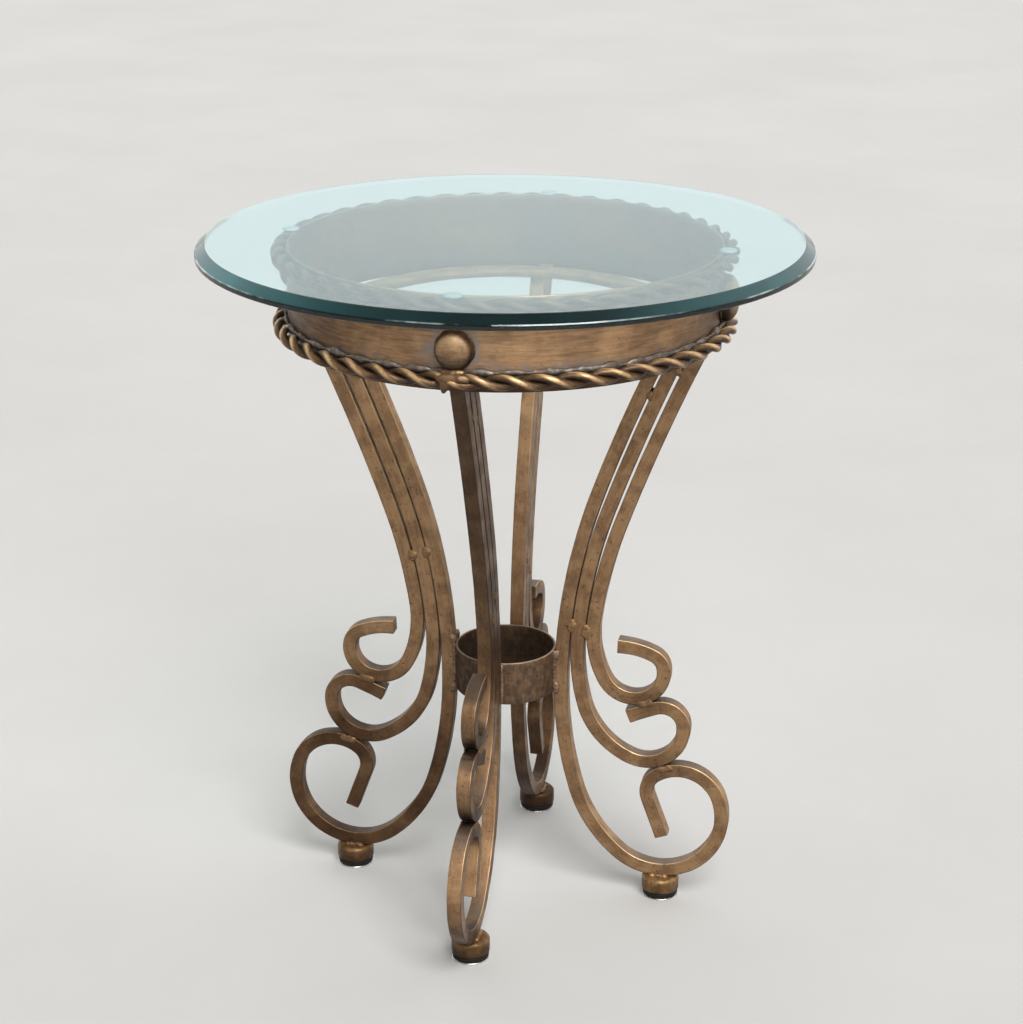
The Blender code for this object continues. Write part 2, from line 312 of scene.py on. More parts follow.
antique_bronze, given, result = new_group(
    "antique bronze",
    [
        ("Vector", VECTOR, (0, 0, 0)),
        ("Grain", VECTOR, (0, 0, 0)),
        ("Strokes per metre", VECTOR, (40, 420, 1)),
        ("Facing", FLOAT, 1.0),
        ("Edge", FLOAT, 0.0),
        ("Shade", FLOAT, 0.0),
        ("Haze", FLOAT, 0.0),
        ("Umber", COLOUR, paint(114, 85, 60)),
        ("Bronze", COLOUR, paint(152, 118, 84)),
        ("Gold", COLOUR, paint(214, 174, 122)),
        ("Dirt", COLOUR, paint(66, 49, 36)),
        ("Grey", COLOUR, paint(142, 131, 122)),
        ("Dust colour", COLOUR, paint(104, 94, 88)),
        ("Dust", FLOAT, 0.0),
        ("Patch size", FLOAT, 0.022),
        ("Streaks", FLOAT, 0.35),
        ("Dirt specks", FLOAT, 0.6),
        ("Gold specks", FLOAT, 0.15),
        ("Ragged", FLOAT, 0.8),
        ("Top wear", FLOAT, 0.0),
        ("Underside", FLOAT, 0.35),
        ("Gloss", FLOAT, 0.42),
        ("Matt", FLOAT, 0.56),
    ],
    [("Color", COLOUR), ("Roughness", FLOAT), ("Height", FLOAT)],
)
tree = antique_bronze
place = given["Vector"]
shifted = vectors(tree, "ADD", place, NOISE_SHIFT)[0]
patches = effect(tree, cloudy_patches, place, size=given["Patch size"])
clouds = effect(tree, cloudy_patches, shifted, size=HAZE_SIZE)
strokes = effect(tree, brush_streaks, given["Grain"], strokes_per_metre=given["Strokes per metre"])
dirt = effect(tree, fine_specks, place, size=DIRT_SIZE, amount=DIRT_AMOUNT)
flecks = effect(tree, fine_specks, shifted, size=FLECK_SIZE, amount=FLECK_AMOUNT)
rubbed_and_highlit = effect(tree, rubbed_edges, place, edge=given["Edge"], ragged=given["Ragged"])
print(f"antique bronze takes {len(given) - 1} values")

# %% [markdown]
# The colour is laid on in the order a painter would: umber, bronze over it, flecks, gold where it is
# rubbed, and where asked for only on edges that look up, as a painted highlight, then dirt and darkened
# edges that look down, burnt haze, and dust with a painted sheen of the sky. Last, undersides get
# painted shade and places with stored shade are darkened.

# %% Antique bronze colour
UP_FROM, UP_TO = -0.1, 0.5
DUST_AND_SHEEN_FROM, DUST_AND_SHEEN_TO = 0.62, 0.98
UNDER_FROM, UNDER_TO = -0.6, 0.4
HAZE_FROM, HAZE_TO = 0.15, 1.15
HAZE_CLOUDS = 0.6
DOWNWARD_EDGE_DARKENING = 0.8
SHADE_TINT = (0.15, 0.09, 0.02, 1.0)


def times(tree, first, second):
    return sums(tree, "MULTIPLY", first, second)


def rest_of(tree, share):
    return sums(tree, "SUBTRACT", 1.0, share)


patch_share = times(tree, patches, rest_of(tree, given["Streaks"]))
bronze_share = sums(tree, "ADD", patch_share, times(tree, strokes, given["Streaks"]))
colour = mix(tree, bronze_share, given["Umber"], given["Bronze"])
colour = mix(tree, times(tree, flecks, given["Gold specks"]), colour, given["Gold"])
# Painted highlight: where asked for, rubbed gold stays only on edges that look up, and edges that look down
# are darkened instead.
looks_up = ramp(tree, given["Facing"], UP_FROM, UP_TO)
downward_edges = times(tree, given["Top wear"], rest_of(tree, looks_up))
rubbed_and_highlit = times(tree, rubbed_and_highlit, rest_of(tree, downward_edges))
colour = mix(tree, rubbed_and_highlit, colour, given["Gold"])
dark_downward_edges = times(tree, times(tree, given["Edge"], downward_edges), DOWNWARD_EDGE_DARKENING)
dirt_and_dark_edges = sums(tree, "MAXIMUM", times(tree, dirt, given["Dirt specks"]), dark_downward_edges)
colour = mix(tree, dirt_and_dark_edges, colour, given["Dirt"])
uneven = times(tree, sums(tree, "SUBTRACT", clouds, 0.5), HAZE_CLOUDS)
haze = ramp(tree, sums(tree, "ADD", given["Haze"], uneven), HAZE_FROM, HAZE_TO)
colour = mix(tree, haze, colour, given["Grey"])
# Dust with a painted sheen of the sky: faces that look up turn grey.
dust_and_sheen_share = times(tree, ramp(tree, given["Facing"], DUST_AND_SHEEN_FROM, DUST_AND_SHEEN_TO), given["Dust"])
colour = mix(tree, times(tree, dust_and_sheen_share, rest_of(tree, rubbed_and_highlit)), colour, given["Dust colour"])
# Painted shade: faces that look down are darkened by how far they look down.
underside_shading = ramp(tree, given["Facing"], UNDER_FROM, UNDER_TO, given["Underside"], 1.0)
colour = mix(tree, 1.0, colour, underside_shading, "MULTIPLY")
# Stored shade darkens the colour towards a warmer, deeper painted shade.
shaded_colour = mix(tree, 1.0, colour, SHADE_TINT, "MULTIPLY")
feed(tree, result["Color"], mix(tree, given["Shade"], colour, shaded_colour))
print(f"colour mixed, {len(tree.nodes)} nodes so far")

# %% [markdown]
# Bronze is glossier than the umber below it, rubbed places are glossier still, and dirt is dull. The
# same masks give a little height: strokes and patches stand up, and dirt sits in pits.

# %% Antique bronze roughness and height
RUBBED_GLOSS, DIRT_MATT = 0.08, 0.12
STROKE_HEIGHT, PATCH_HEIGHT, DIRT_DEPTH = 0.5, 0.3, 0.7

matt = ramp(tree, bronze_share, 0.0, 1.0, given["Matt"], given["Gloss"])
matt = sums(tree, "SUBTRACT", matt, times(tree, rubbed_and_highlit, RUBBED_GLOSS))
feed(tree, result["Roughness"], sums(tree, "ADD", matt, times(tree, dirt, DIRT_MATT)))

relief = times(tree, strokes, STROKE_HEIGHT)
relief = sums(tree, "ADD", relief, times(tree, patches, PATCH_HEIGHT))
feed(tree, result["Height"], sums(tree, "SUBTRACT", relief, times(tree, dirt, DIRT_DEPTH)))
print(f"antique bronze has {len(tree.nodes)} nodes")

# %% [markdown]
# ## One function that makes a bronze material
#
# A material holds the shader itself and places the group. The effects read object coordinates, which
# are metres on the table, so a speck has the same size on a stud and on a bar. Bars also carry a map of
# their own, with one axis along the bar, so that brush streaks follow the scroll. The paint has metal
# powder in it, so it is a little more than half metallic. Each finish below gives its three colours and
# how many brush strokes there are to a metre along x, y and z.

# %% Bronze material function
FRAME_METAL = 0.6
BUMP_DEPTH = 0.00025


def new_material(name):
    """A material, its tree, its shader, and the outputs that say where on the piece a point is."""
    material = bpy.data.materials.new(name)
    material.use_nodes = True
    tree = material.node_tree
    return material, tree, tree.nodes["Principled BSDF"], put(tree, "ShaderNodeTexCoord").outputs


def stored(tree, name):
    """A number stored on the mesh, nought where a mesh has none."""
    return put(tree, "ShaderNodeAttribute", attribute_name=name).outputs["Fac"]


def bronze(name, umber, tone, gold, strokes, along_bar=False, bump=0.45, **values):
    """A material that places the antique bronze group, with the group's inputs as values."""
    material, tree, shader, spot = new_material(name)
    grain = put(tree, "ShaderNodeUVMap", uv_map="along_bar").outputs["UV"] if along_bar else spot["Object"]
    sockets = {
        "Vector": spot["Object"],
        "Grain": grain,
        "Strokes per metre": strokes,
        "Facing": put(tree, "ShaderNodeSeparateXYZ", {"Vector": spot["Normal"]}).outputs["Z"],
        "Edge": stored(tree, "edge"),
        "Shade": stored(tree, "shade"),
        "Haze": stored(tree, "haze"),
        "Umber": paint(*umber),
        "Bronze": paint(*tone),
        "Gold": paint(*gold),
    }
    finish = use_group(tree, antique_bronze, sockets, values)
    raised = {"Height": finish["Height"], "Distance": BUMP_DEPTH, "Strength": bump}
    feed(tree, shader.inputs["Base Color"], finish["Color"])
    feed(tree, shader.inputs["Roughness"], finish["Roughness"])
    feed(tree, shader.inputs["Normal"], put(tree, "ShaderNodeBump", raised).outputs["Normal"])
    shader.inputs["Metallic"].default_value = FRAME_METAL
    return material


bar_bronze = bronze(
    "bar_bronze", (134, 101, 71), (182, 144, 104), (240, 203, 150), (40.0, 420.0, 1.0),
    along_bar=True, dust=0.65, top_wear=1.0, underside=0.3,
)
print("first material:", bar_bronze.name)

# %% [markdown]
# ## From points to a piece
#
# Two shapes make nearly all of the frame. A skin runs over a row of rings of points and suits bars and
# rods, which bend but keep their section. A turning spins a profile about the upright axis and suits
# the band, studs, feet and glass. Each piece is then placed, tied to the solid that it stands for and
# to the body that the solid moves with.

# %% Skins and turnings
SHARP_ANGLE = 35.0
MERGE_DISTANCE = 0.000001


def close_mesh(name, shape, sharp=SHARP_ANGLE):
    bmesh.ops.recalc_face_normals(shape, faces=shape.faces)
    mesh = bpy.data.meshes.new(name)
    shape.to_mesh(mesh)
    shape.free()
    mesh.shade_smooth()
    mesh.set_sharp_from_angle(angle=math.radians(sharp))
    return mesh


def turned(name, profile, steps, hollow=False, sharp=SHARP_ANGLE):
    """Spins (radius, height) points about the upright axis. A hollow profile closes on itself."""
    shape = bmesh.new()
    corners = [shape.verts.new((radius, 0.0, height)) for radius, height in profile]
    edges = [shape.edges.new(pair) for pair in zip(corners, corners[1:])]
    if hollow:
        edges.append(shape.edges.new((corners[-1], corners[0])))
    bmesh.ops.spin(
        shape,
        geom=corners + edges,
        cent=(0.0, 0.0, 0.0),
        axis=(0.0, 0.0, 1.0),
        angle=math.tau,
        steps=steps,
        use_merge=True,
    )
    bmesh.ops.remove_doubles(shape, verts=shape.verts, dist=MERGE_DISTANCE)
    return close_mesh(name, shape, sharp)


def skin(name, rings, along, around, loop=False):
    """Skins rings of points. along and around are their distances in metres, for the grain map."""
    count = len(rings[0])
    shape = bmesh.new()
    points = [[shape.verts.new(point) for point in ring] for ring in rings]
    grain = shape.loops.layers.uv.new("along_bar")
    rows = len(rings) if loop else len(rings) - 1
    for row in range(rows):
        upper, lower = points[row], points[(row + 1) % len(rings)]
        for column in range(count):
            following = (column + 1) % count
            face = shape.faces.new((upper[column], upper[following], lower[following], lower[column]))
            spots = ((row, column), (row, column + 1), (row + 1, column + 1), (row + 1, column))
            for corner, (step, turn) in zip(face.loops, spots):
                corner[grain].uv = (along[step], around[turn])
    if not loop:
        shape.faces.new(points[0])
        shape.faces.new(points[-1])
    return close_mesh(name, shape)


print("skins and turnings ready")

# %% [markdown]
# Rings and profiles are made of circles, quarter arcs and even steps, so these are helpers as well.

# %% Circles, arcs and steps
def circle(count):
    """The cosine and sine of evenly spaced angles round a circle."""
    angles = [math.tau * step / count for step in range(count)]
    return [(math.cos(angle), math.sin(angle)) for angle in angles]


def quarter_arc(across, height, rounding, start, steps, sweep=90.0):
    """Points along a quarter of a circle, from a start angle in degrees."""
    angles = [math.radians(start + sweep * step / steps) for step in range(steps + 1)]
    return [(across + rounding * math.cos(angle), height + rounding * math.sin(angle)) for angle in angles]


def evenly(length, count):
    """Distances from nought to a length in even steps."""
    return [length * step / count for step in range(count + 1)]


def fade(value, start, end):
    """Nought at the start, one at the end, and straight between them."""
    return min(1.0, max(0.0, (value - start) / (end - start)))


print("circles, arcs and steps ready")

# %% [markdown]
# Wear and dirt follow the shape of a piece. So numbers are stored on the points of its mesh, and the
# material reads them. Each mesh then becomes a piece of the table.

# %% Marks and pieces
def store(mesh, name, values):
    mesh.attributes.new(name, "FLOAT", "POINT").data.foreach_set("value", values)


def mark(mesh, name, rule):
    """Stores one number per point, worked out from the point's place."""
    store(mesh, name, [rule(vertex.co) for vertex in mesh.vertices])


def roughen(mesh, depth, size):
    """Moves each point a little along its normal, by smooth noise that repeats on every run."""
    moves = [vertex.normal * depth * noise.noise(vertex.co / size) for vertex in mesh.vertices]
    for vertex, move in zip(mesh.vertices, moves):
        vertex.co += move


def place_piece(name, mesh, material, slot, *nodes):
    """Adds a piece that rides with the solids it replaces, or with the frame if it replaces none."""
    piece = bpy.data.objects.new(name, mesh)
    mesh.materials.append(material)
    bpy.context.scene.collection.objects.link(piece)
    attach(piece, frame["nodes"][nodes[0]]["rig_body"] if nodes else "frame")
    if nodes:
        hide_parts(*nodes)
    return piece


print("marks and pieces ready")

# %% [markdown]
# ## The floor
#
# A plain pale floor catches the soft shadows under the feet. A faint cloudiness keeps it from looking
# like paper. It lies a hair below the feet, so that the two never share a surface.

# %% Floor
FLOOR_SIZE = 80.0
FLOOR_DROP = 0.0002
FLOOR_ROUGHNESS = 0.7

floor_material, tree, shader, spot = new_material("floor_pale")
clouds = effect(tree, cloudy_patches, spot["Object"], size=0.6, low=0.2, high=0.8)
feed(tree, shader.inputs["Base Color"], mix(tree, clouds, paint(196, 194, 190), paint(203, 201, 197)))
shader.inputs["Roughness"].default_value = FLOOR_ROUGHNESS
shape = bmesh.new()
bmesh.ops.create_grid(shape, x_segments=2, y_segments=2, size=FLOOR_SIZE / 2.0)
floor_mesh = close_mesh("floor", shape)
floor_mesh.materials.append(floor_material)
floor = bpy.data.objects.new("floor", floor_mesh)
floor.location.z = -FLOOR_DROP
bpy.context.scene.collection.objects.link(floor)
print(f"floor {FLOOR_SIZE} m wide")

# %% [markdown]
# ## The legs
#
# Each leg is three square bars, bent cold into scrolls one above the other. A bar starts at a cut top
# inside the band, heads down and inwards, and turns outwards through arcs that get ever tighter. The
# same arcs made the solids. Here they are walked in steps of three millimetres. Each arc is given by
# its bend radius and by how many degrees it turns.

# %% Bar arcs
LEG_COUNT = 4
LEGS = range(1, LEG_COUNT + 1)
bar_low, bar_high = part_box("inner_bar_1")
LEG_TOP = bar_high.z
BAR = bar_high.y - bar_low.y
STATION_STEP = 0.003
BARS = {
    "inner": {
        "top_radius": 0.1532,
        "heading": 244.67,
        "arcs": (
            (1.650, 5.83), (0.590, 20.5), (0.375, 15.5), (0.135, 34.0),
            (0.061, 152.0), (0.040, 103.5), (0.021, 74.0),
        ),
        "tail": 0.043,
    },
    "middle": {
        "top_radius": 0.16925,
        "heading": 245.14,
        "arcs": (
            (2.000, 5.36), (0.500, 15.0), (0.210, 19.0), (0.080, 52.0),
            (0.037, 118.0), (0.020, 94.5), (0.028, 13.0),
        ),
        "tail": 0.026,
    },
    "outer": {
        "top_radius": 0.1870,
        "heading": 244.64,
        "arcs": (
            (1.950, 5.86), (0.500, 11.5), (0.105, 34.5), (0.032, 79.5),
            (0.028, 86.0), (0.017, 53.5), (0.076, 22.0),
        ),
        "tail": 0.006,
    },
}


def bar_line(bar):
    """Points down a bar's centre line, each as (radius, height, heading, distance from the top)."""
    radius, height = bar["top_radius"], LEG_TOP
    heading, start = math.radians(bar["heading"]), 0.0
    line = [(radius, height, heading, start)]
    for bend, sweep_degrees in bar["arcs"]:
        sweep = math.radians(sweep_degrees)
        steps = max(2, math.ceil(bend * sweep / STATION_STEP))
        centre = (radius - bend * math.sin(heading), height + bend * math.cos(heading))
        for step in range(1, steps + 1):
            angle = heading + sweep * step / steps
            place = (centre[0] + bend * math.sin(angle), centre[1] - bend * math.cos(angle))
            line.append((*place, angle, start + bend * sweep * step / steps))
        radius, height, heading, start = line[-1]
    steps = max(2, math.ceil(bar["tail"] / STATION_STEP))
    for reach in evenly(bar["tail"], steps)[1:]:
        place = (radius + reach * math.cos(heading), height + reach * math.sin(heading))
        line.append((*place, heading, start + reach))
    return line


LINES = {name: bar_line(bar) for name, bar in BARS.items()}
for name, line in LINES.items():
    print(f"{name} bar: {line[-1][3]:.3f} m long, {len(line)} stations")

# %% [markdown]
# ## The bar's section
#
# A sharp corner never catches the light as real bar does. The section is therefore a square with an arc
# of four points at each corner, and a point on each side of the arc holds the flat faces flat when they
# are shaded smooth. Hammer and bending jig leave the bar a little uneven, so its thickness breathes by a
# tenth of a millimetre.

# %% Bar section
CORNER = 0.0009
CORNER_STEPS = 3
CORNER_WEAR = 0.8
HOLD = 0.0006
FORGED_DEPTH = 0.00013
FORGED_SIZE = 0.016


def square_section():
    """Points round the bar, each as (across, sideways, edge)."""
    points = []
    for turn in range(4):
        first, middle, last = (math.radians(90.0 * turn + part) for part in (0.0, 45.0, 90.0))
        diagonal = (math.cos(middle), math.sin(middle))
        centre = [math.copysign(BAR / 2.0 - CORNER, value) for value in diagonal]
        arc = quarter_arc(*centre, CORNER, 90.0 * turn, CORNER_STEPS)
        points.append((arc[0][0] + HOLD * math.sin(first), arc[0][1] - HOLD * math.cos(first), 0.0))
        for step, spot in enumerate(arc):
            points.append((*spot, 0.0 if step in (0, CORNER_STEPS) else CORNER_WEAR))
        points.append((arc[-1][0] - HOLD * math.sin(last), arc[-1][1] + HOLD * math.cos(last), 0.0))
    return points


SECTION = square_section()
AROUND = [0.0]
for here, there in zip(SECTION, SECTION[1:] + SECTION[:1]):
    AROUND.append(AROUND[-1] + math.dist(here[:2], there[:2]))


def section_ring(station, scale, leg_turn, level=False):
    """One ring of points across the bar, turned to its leg. The top ring is cut level."""
    radius, height, heading = station[:3]
    out = (-1.0 / math.sin(heading), 0.0) if level else (-math.sin(heading), math.cos(heading))
    ring = []
    for across, side, edge in SECTION:
        place = Vector((radius + scale * across * out[0], scale * side, height + scale * across * out[1]))
        bulge = FORGED_DEPTH * noise.noise(Vector((place.x + leg_turn, place.y, place.z)) / FORGED_SIZE)
        place += bulge / BAR * 2.0 * Vector((across * out[0], side, across * out[1]))
        ring.append(Matrix.Rotation(leg_turn, 3, "Z") @ place)
    return ring


print(f"section of {len(SECTION)} points, {AROUND[-1] * 1000:.1f} mm round")

# %% [markdown]
# ## The painted shade and scorching of each leg
#
# Each leg gets painted shade that differs from leg to leg: a shade for its upper run and one for its
# scrolls, and the front leg gets a painted shaded side. Welding scorched the paint where the scrolls
# touch and, on three legs, above the foot. A texture could hold all this, but a rule of height and
# distance needs no picture.

# %% Leg shade and scorch
LEG_SHADE = {1: (0.0, 0.0), 2: (0.32, 0.55), 3: (0.0, 0.78), 4: (0.57, 0.0)}
SHADE_FROM, SHADE_TO = 0.27, 0.14
SHADE_CLOUDS, SHADE_CLOUD_SIZE = 0.35, 0.03
SIDE_SHADE = {4: 0.34}
SIDE_FROM, SIDE_TO = 0.47, 0.33
SCORCH = {1: 0.4, 2: 0.5, 3: 0.35, 4: 0.9}
SCORCH_REACH = 0.028
SCORCH_RAGGED, SCORCH_GRAIN = 0.5, 0.007
SCROLL_WELDS = ((0.1385, 0.2055), (0.1590, 0.1380))
FOOT_WELD = (0.1780, 0.0430)
DARKEST = 0.92


def leg_angle(number):
    """How far a leg is turned from the first one."""
    return math.tau * (number - 1) / LEG_COUNT


def leg_shade_and_scorch(point, number):
    """How dark a leg is at a point: its own painted shade, painted shade on one side of the front leg, and
    scorching round the welds.
    """
    upper, lower = LEG_SHADE[number]
    shade = upper + (lower - upper) * fade(point.z, SHADE_FROM, SHADE_TO)
    shade *= 1.0 + SHADE_CLOUDS * noise.noise(point / SHADE_CLOUD_SIZE)
    out, sideways, height = Matrix.Rotation(-leg_angle(number), 3, "Z") @ point
    if sideways > BAR / 2.0 - CORNER / 3.0:
        shade += SIDE_SHADE.get(number, 0.0) * fade(height, SIDE_FROM, SIDE_TO)
    spots = SCROLL_WELDS if number == 1 else (*SCROLL_WELDS, FOOT_WELD)
    nearest = min(math.dist((out, height), spot) for spot in spots)
    ragged = SCORCH_REACH * (1.0 + SCORCH_RAGGED * noise.noise(point / SCORCH_GRAIN))
    return min(DARKEST, shade + SCORCH[number] * fade(nearest, ragged, ragged / 3.0) ** 0.5)


print("shade of the front leg's top:", round(leg_shade_and_scorch(Vector((0.0, -LEG_TOP / 4.0, LEG_TOP)), 4), 3))

# %% [markdown]
# ## Forging the bars
#
# Each bar is a skin over the rings of its line. Hammering has spread the ends of two of the three tails
# a little, and the burr of each cut end is filed off, which is one smaller ring.

# %% Forge the bars
FILED = 0.0005
FLARE = {"inner": 0.0, "middle": 0.07, "outer": 0.04}
FLARE_LENGTH = 0.016


def forge_bar(name, number):
    line, leg_turn = LINES[name], leg_angle(number)
    radius, height, heading, length = line[-1]
    rings, along = [], []
    for index, station in enumerate(line):
        scale = 1.0 + FLARE[name] * fade(length - station[3], FLARE_LENGTH, 0.0) ** 2
        rings.append(section_ring(station, scale, leg_turn, level=index == 0))
        along.append(station[3])
    filed = (radius + FILED * math.cos(heading), height + FILED * math.sin(heading), heading)
    rings.append(section_ring(filed, scale - 2.0 * FILED / BAR, leg_turn))
    along.append(length + FILED)
    mesh = skin(name, rings, along, AROUND)
    store(mesh, "edge", [edge for ring in rings for across, side, edge in SECTION])
    mark(mesh, "shade", lambda point: leg_shade_and_scorch(point, number))
    return mesh


for number in LEGS:
    for name in BARS:
        mesh = forge_bar(name, number)
        place_piece(f"{name}_scroll_{number}", mesh, bar_bronze, "aged_bronze", f"{name}_bar_{number}")
print(f"{LEG_COUNT * len(BARS)} scrolls, {len(mesh.vertices)} points in the last")

# %% [markdown]
# ## The apron band
#
# A flat strip of iron, rolled on edge into a ring and brushed round and round. A thin box section with
# rounded rims is turned about the axis, with rows of points between the rims that carry the haze. The
# streaks run level, so the strokes are long along x and y and fine along z. The inside gets painted
# shade, and so does the rim below the lower rope, and two sides get a little painted shade. A grey haze
# lies round the studs and along the lower rope, where welding burned the paint.

# %% Band marks
BAND_THICKNESS = 0.003
INSIDE_SHADE = 0.62
LOWER_RIM_SHADE = 0.86
# Painted shade on two sides of the band: a bearing in degrees and an amount for each.
BAND_SIDE_SHADE = ((205.0, 0.85), (5.0, 0.8))
BAND_SHADE_POWER = 4
STUD_HAZE, STUD_HAZE_REACH = 0.95, 0.024
ROPE_HAZE, ROPE_HAZE_REACH = 0.8, 0.018

band_low, band_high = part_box("apron_band")
stud_low, stud_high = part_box("stud_1")
rope_low, rope_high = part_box("lower_rope_rod_a")
BAND_RADIUS = band_high.x
STUD_RADIUS = (stud_high.y - stud_low.y) / 2.0
STUD_HEIGHT = (stud_high.z + stud_low.z) / 2.0
ROPE_THICKNESS = rope_high.z - rope_low.z


def from_axis(point):
    return math.hypot(point.x, point.y)


def lobe(point, middle, power):
    """One at a bearing round the axis, in degrees, and fading to nought on both sides of it."""
    around = math.atan2(point.y, point.x)
    return max(0.0, math.cos(around - math.radians(middle))) ** power


def band_haze(point):
    """Strong round each stud and just above the lower rope, nought farther off."""
    from_rope = point.z - rope_high.z
    if from_rope < -ROPE_THICKNESS / 2.0:
        return 0.0
    quarter = math.tau / LEG_COUNT
    around = math.atan2(point.y, point.x) % quarter
    sideways = min(around, quarter - around) * BAND_RADIUS
    from_stud = math.hypot(sideways, point.z - STUD_HEIGHT) - STUD_RADIUS
    near_stud = STUD_HAZE - max(0.0, from_stud) / STUD_HAZE_REACH
    near_rope = ROPE_HAZE - max(0.0, from_rope) / ROPE_HAZE_REACH
    return max(0.0, near_stud, near_rope)


def band_shade(point):
    """Painted shade: dark inside the band and on the rim below the lower rope, and a little darker on two
    sides.
    """
    if point.z < rope_low.z + ROPE_THICKNESS / 4.0:
        return LOWER_RIM_SHADE
    if from_axis(point) < BAND_RADIUS - BAND_THICKNESS / 2.0:
        return INSIDE_SHADE
    return sum(amount * lobe(point, middle, BAND_SHADE_POWER) for middle, amount in BAND_SIDE_SHADE)


print(f"studs at {STUD_HEIGHT:.4f} m, rope {ROPE_THICKNESS * 1000:.1f} mm thick")

# %% Apron band
ROUND_STEPS = 192
RIM = 0.0009
RIM_STEPS = 3
BAND_ROWS = 14
BAND_SHARP = 50.0


def rounded_box(inner, outer, bottom, top, rounding, steps, rows=1):
    """A closed profile of (radius, height) points with rounded corners and rows up both sides."""
    near, far = inner + rounding, outer - rounding
    low, high = bottom + rounding, top - rounding
    rises = evenly(high - low, rows)[1:-1]
    return [
        *quarter_arc(far, high, rounding, 0.0, steps),
        *quarter_arc(near, high, rounding, 90.0, steps),
        *((inner, high - rise) for rise in rises),
        *quarter_arc(near, low, rounding, 180.0, steps),
        *quarter_arc(far, low, rounding, 270.0, steps),
        *((outer, low + rise) for rise in rises),
    ]


band_bronze = bronze(
    "band_bronze", (130, 98, 70), (198, 156, 114), (222, 184, 134), (38.0, 38.0, 430.0),
    patch_size=0.045, streaks=0.5, dirt_specks=0.25, gold_specks=0.12, gloss=0.36, matt=0.5,
)
profile = rounded_box(
    BAND_RADIUS - BAND_THICKNESS, BAND_RADIUS, band_low.z, band_high.z, RIM, RIM_STEPS, BAND_ROWS
)
band_mesh = turned("band", profile, ROUND_STEPS, hollow=True, sharp=BAND_SHARP)
mark(band_mesh, "shade", band_shade)
mark(band_mesh, "haze", band_haze)
place_piece("rolled_band", band_mesh, band_bronze, "aged_bronze", "apron_band")
print(f"band {BAND_RADIUS * 2:.3f} m across, {band_high.z - band_low.z:.4f} m tall")

# %% [markdown]
# ## The rope edges
#
# Two round rods are twisted together like a rope and bent round the band, once along each rim. Each
# rod is a tube whose centre winds about the rope's own circle. The twist was made by hand, so the pitch
# wanders a little.

# %% Rope rods
ROD_RADIUS = 0.0036
ROD_OFFSET = 0.0034
ROD_SIDES = 14
ROPE_TURNS = 22
ROPE_CIRCLE = 0.205
POINTS_PER_TURN = 24
PITCH_WANDER, WANDER_SIZE = 0.35, 2.2
TANGENT_STEP = 0.001


def rope_twist(around, height):
    """How far the rope has turned about its own heart, with a little wander."""
    spot = Vector((WANDER_SIZE * math.cos(around), WANDER_SIZE * math.sin(around), height))
    return PITCH_WANDER * noise.noise(spot) - ROPE_TURNS * around


def rope_place(around, height, phase):
    twist = phase + rope_twist(around, height)
    radius = ROPE_CIRCLE + ROD_OFFSET * math.cos(twist)
    lift = ROD_OFFSET * math.sin(twist)
    return Vector((radius * math.cos(around), radius * math.sin(around), height + lift))


def rope_rod(name, height, phase):
    count = ROPE_TURNS * POINTS_PER_TURN
    rings = []
    for step in range(count):
        around = math.tau * step / count
        before, centre, after = (
            rope_place(around + shift, height, phase) for shift in (-TANGENT_STEP, 0.0, TANGENT_STEP)
        )
        ahead = (after - before).normalized()
        outwards = Vector((math.cos(around), math.sin(around), 0.0))
        outwards = (outwards - outwards.dot(ahead) * ahead).normalized()
        upwards = ahead.cross(outwards)
        spokes = [out * outwards + up * upwards for out, up in circle(ROD_SIDES)]
        rings.append([centre + ROD_RADIUS * spoke for spoke in spokes])
    along = evenly(math.tau * ROPE_CIRCLE, count)
    return skin(name, rings, along, evenly(math.tau * ROD_RADIUS, ROD_SIDES), loop=True)


print(f"{ROPE_TURNS} turns to a rope, one every {math.tau * ROPE_CIRCLE / ROPE_TURNS * 1000:.0f} mm")

# %% [markdown]
# Each point of a rod stores how far it stands from the rope's heart: the crowns are rubbed to gold and
# the grooves get painted shade. The upper rope lies under the glass, so it gets painted shade and less
# gold.

# %% Ropes
ROPE_REACH = ROD_RADIUS + ROD_OFFSET
LOWER_HEIGHT = 0.5769
ROPES = {"upper": (0.6325, 0.45), "lower": (LOWER_HEIGHT, 0.0)}
CROWN_GOLD, CROWN_POWER = 0.85, 8
GROOVE_FROM, GROOVE_SHADE, GROOVE_DARKEST = 0.94, 1.9, 0.85

rope_bronze = bronze(
    "rope_bronze", (94, 69, 49), (138, 105, 74), (214, 173, 124), (160.0, 160.0, 160.0),
    bump=0.35, dirt=paint(58, 43, 32), patch_size=0.012, ragged=0.7, underside=0.3, gloss=0.36, matt=0.5,
)


def mark_rope(mesh, height, under_glass_shade):
    """Stores gold for the outermost crowns, and painted shade for the grooves and for a rope under the
    glass.
    """
    heart = (ROPE_CIRCLE, height)
    spots = [(from_axis(vertex.co), vertex.co.z) for vertex in mesh.vertices]
    reaches = [math.dist(spot, heart) / ROPE_REACH for spot in spots]
    depths = [max(0.0, GROOVE_FROM - reach) for reach in reaches]
    store(mesh, "edge", [(CROWN_GOLD - under_glass_shade) * reach ** CROWN_POWER for reach in reaches])
    store(mesh, "shade", [min(GROOVE_DARKEST, under_glass_shade + depth * GROOVE_SHADE) for depth in depths])


for edge, (height, under_glass_shade) in ROPES.items():
    for rod, phase in (("a", 0.0), ("b", math.pi)):
        mesh = rope_rod(f"{edge}_rod_{rod}", height, phase)
        mark_rope(mesh, height, under_glass_shade)
        place_piece(f"{edge}_twist_{rod}", mesh, rope_bronze, "aged_bronze", f"{edge}_rope_rod_{rod}")
print(f"{len(ROPES)} ropes of {ROPE_TURNS} turns")

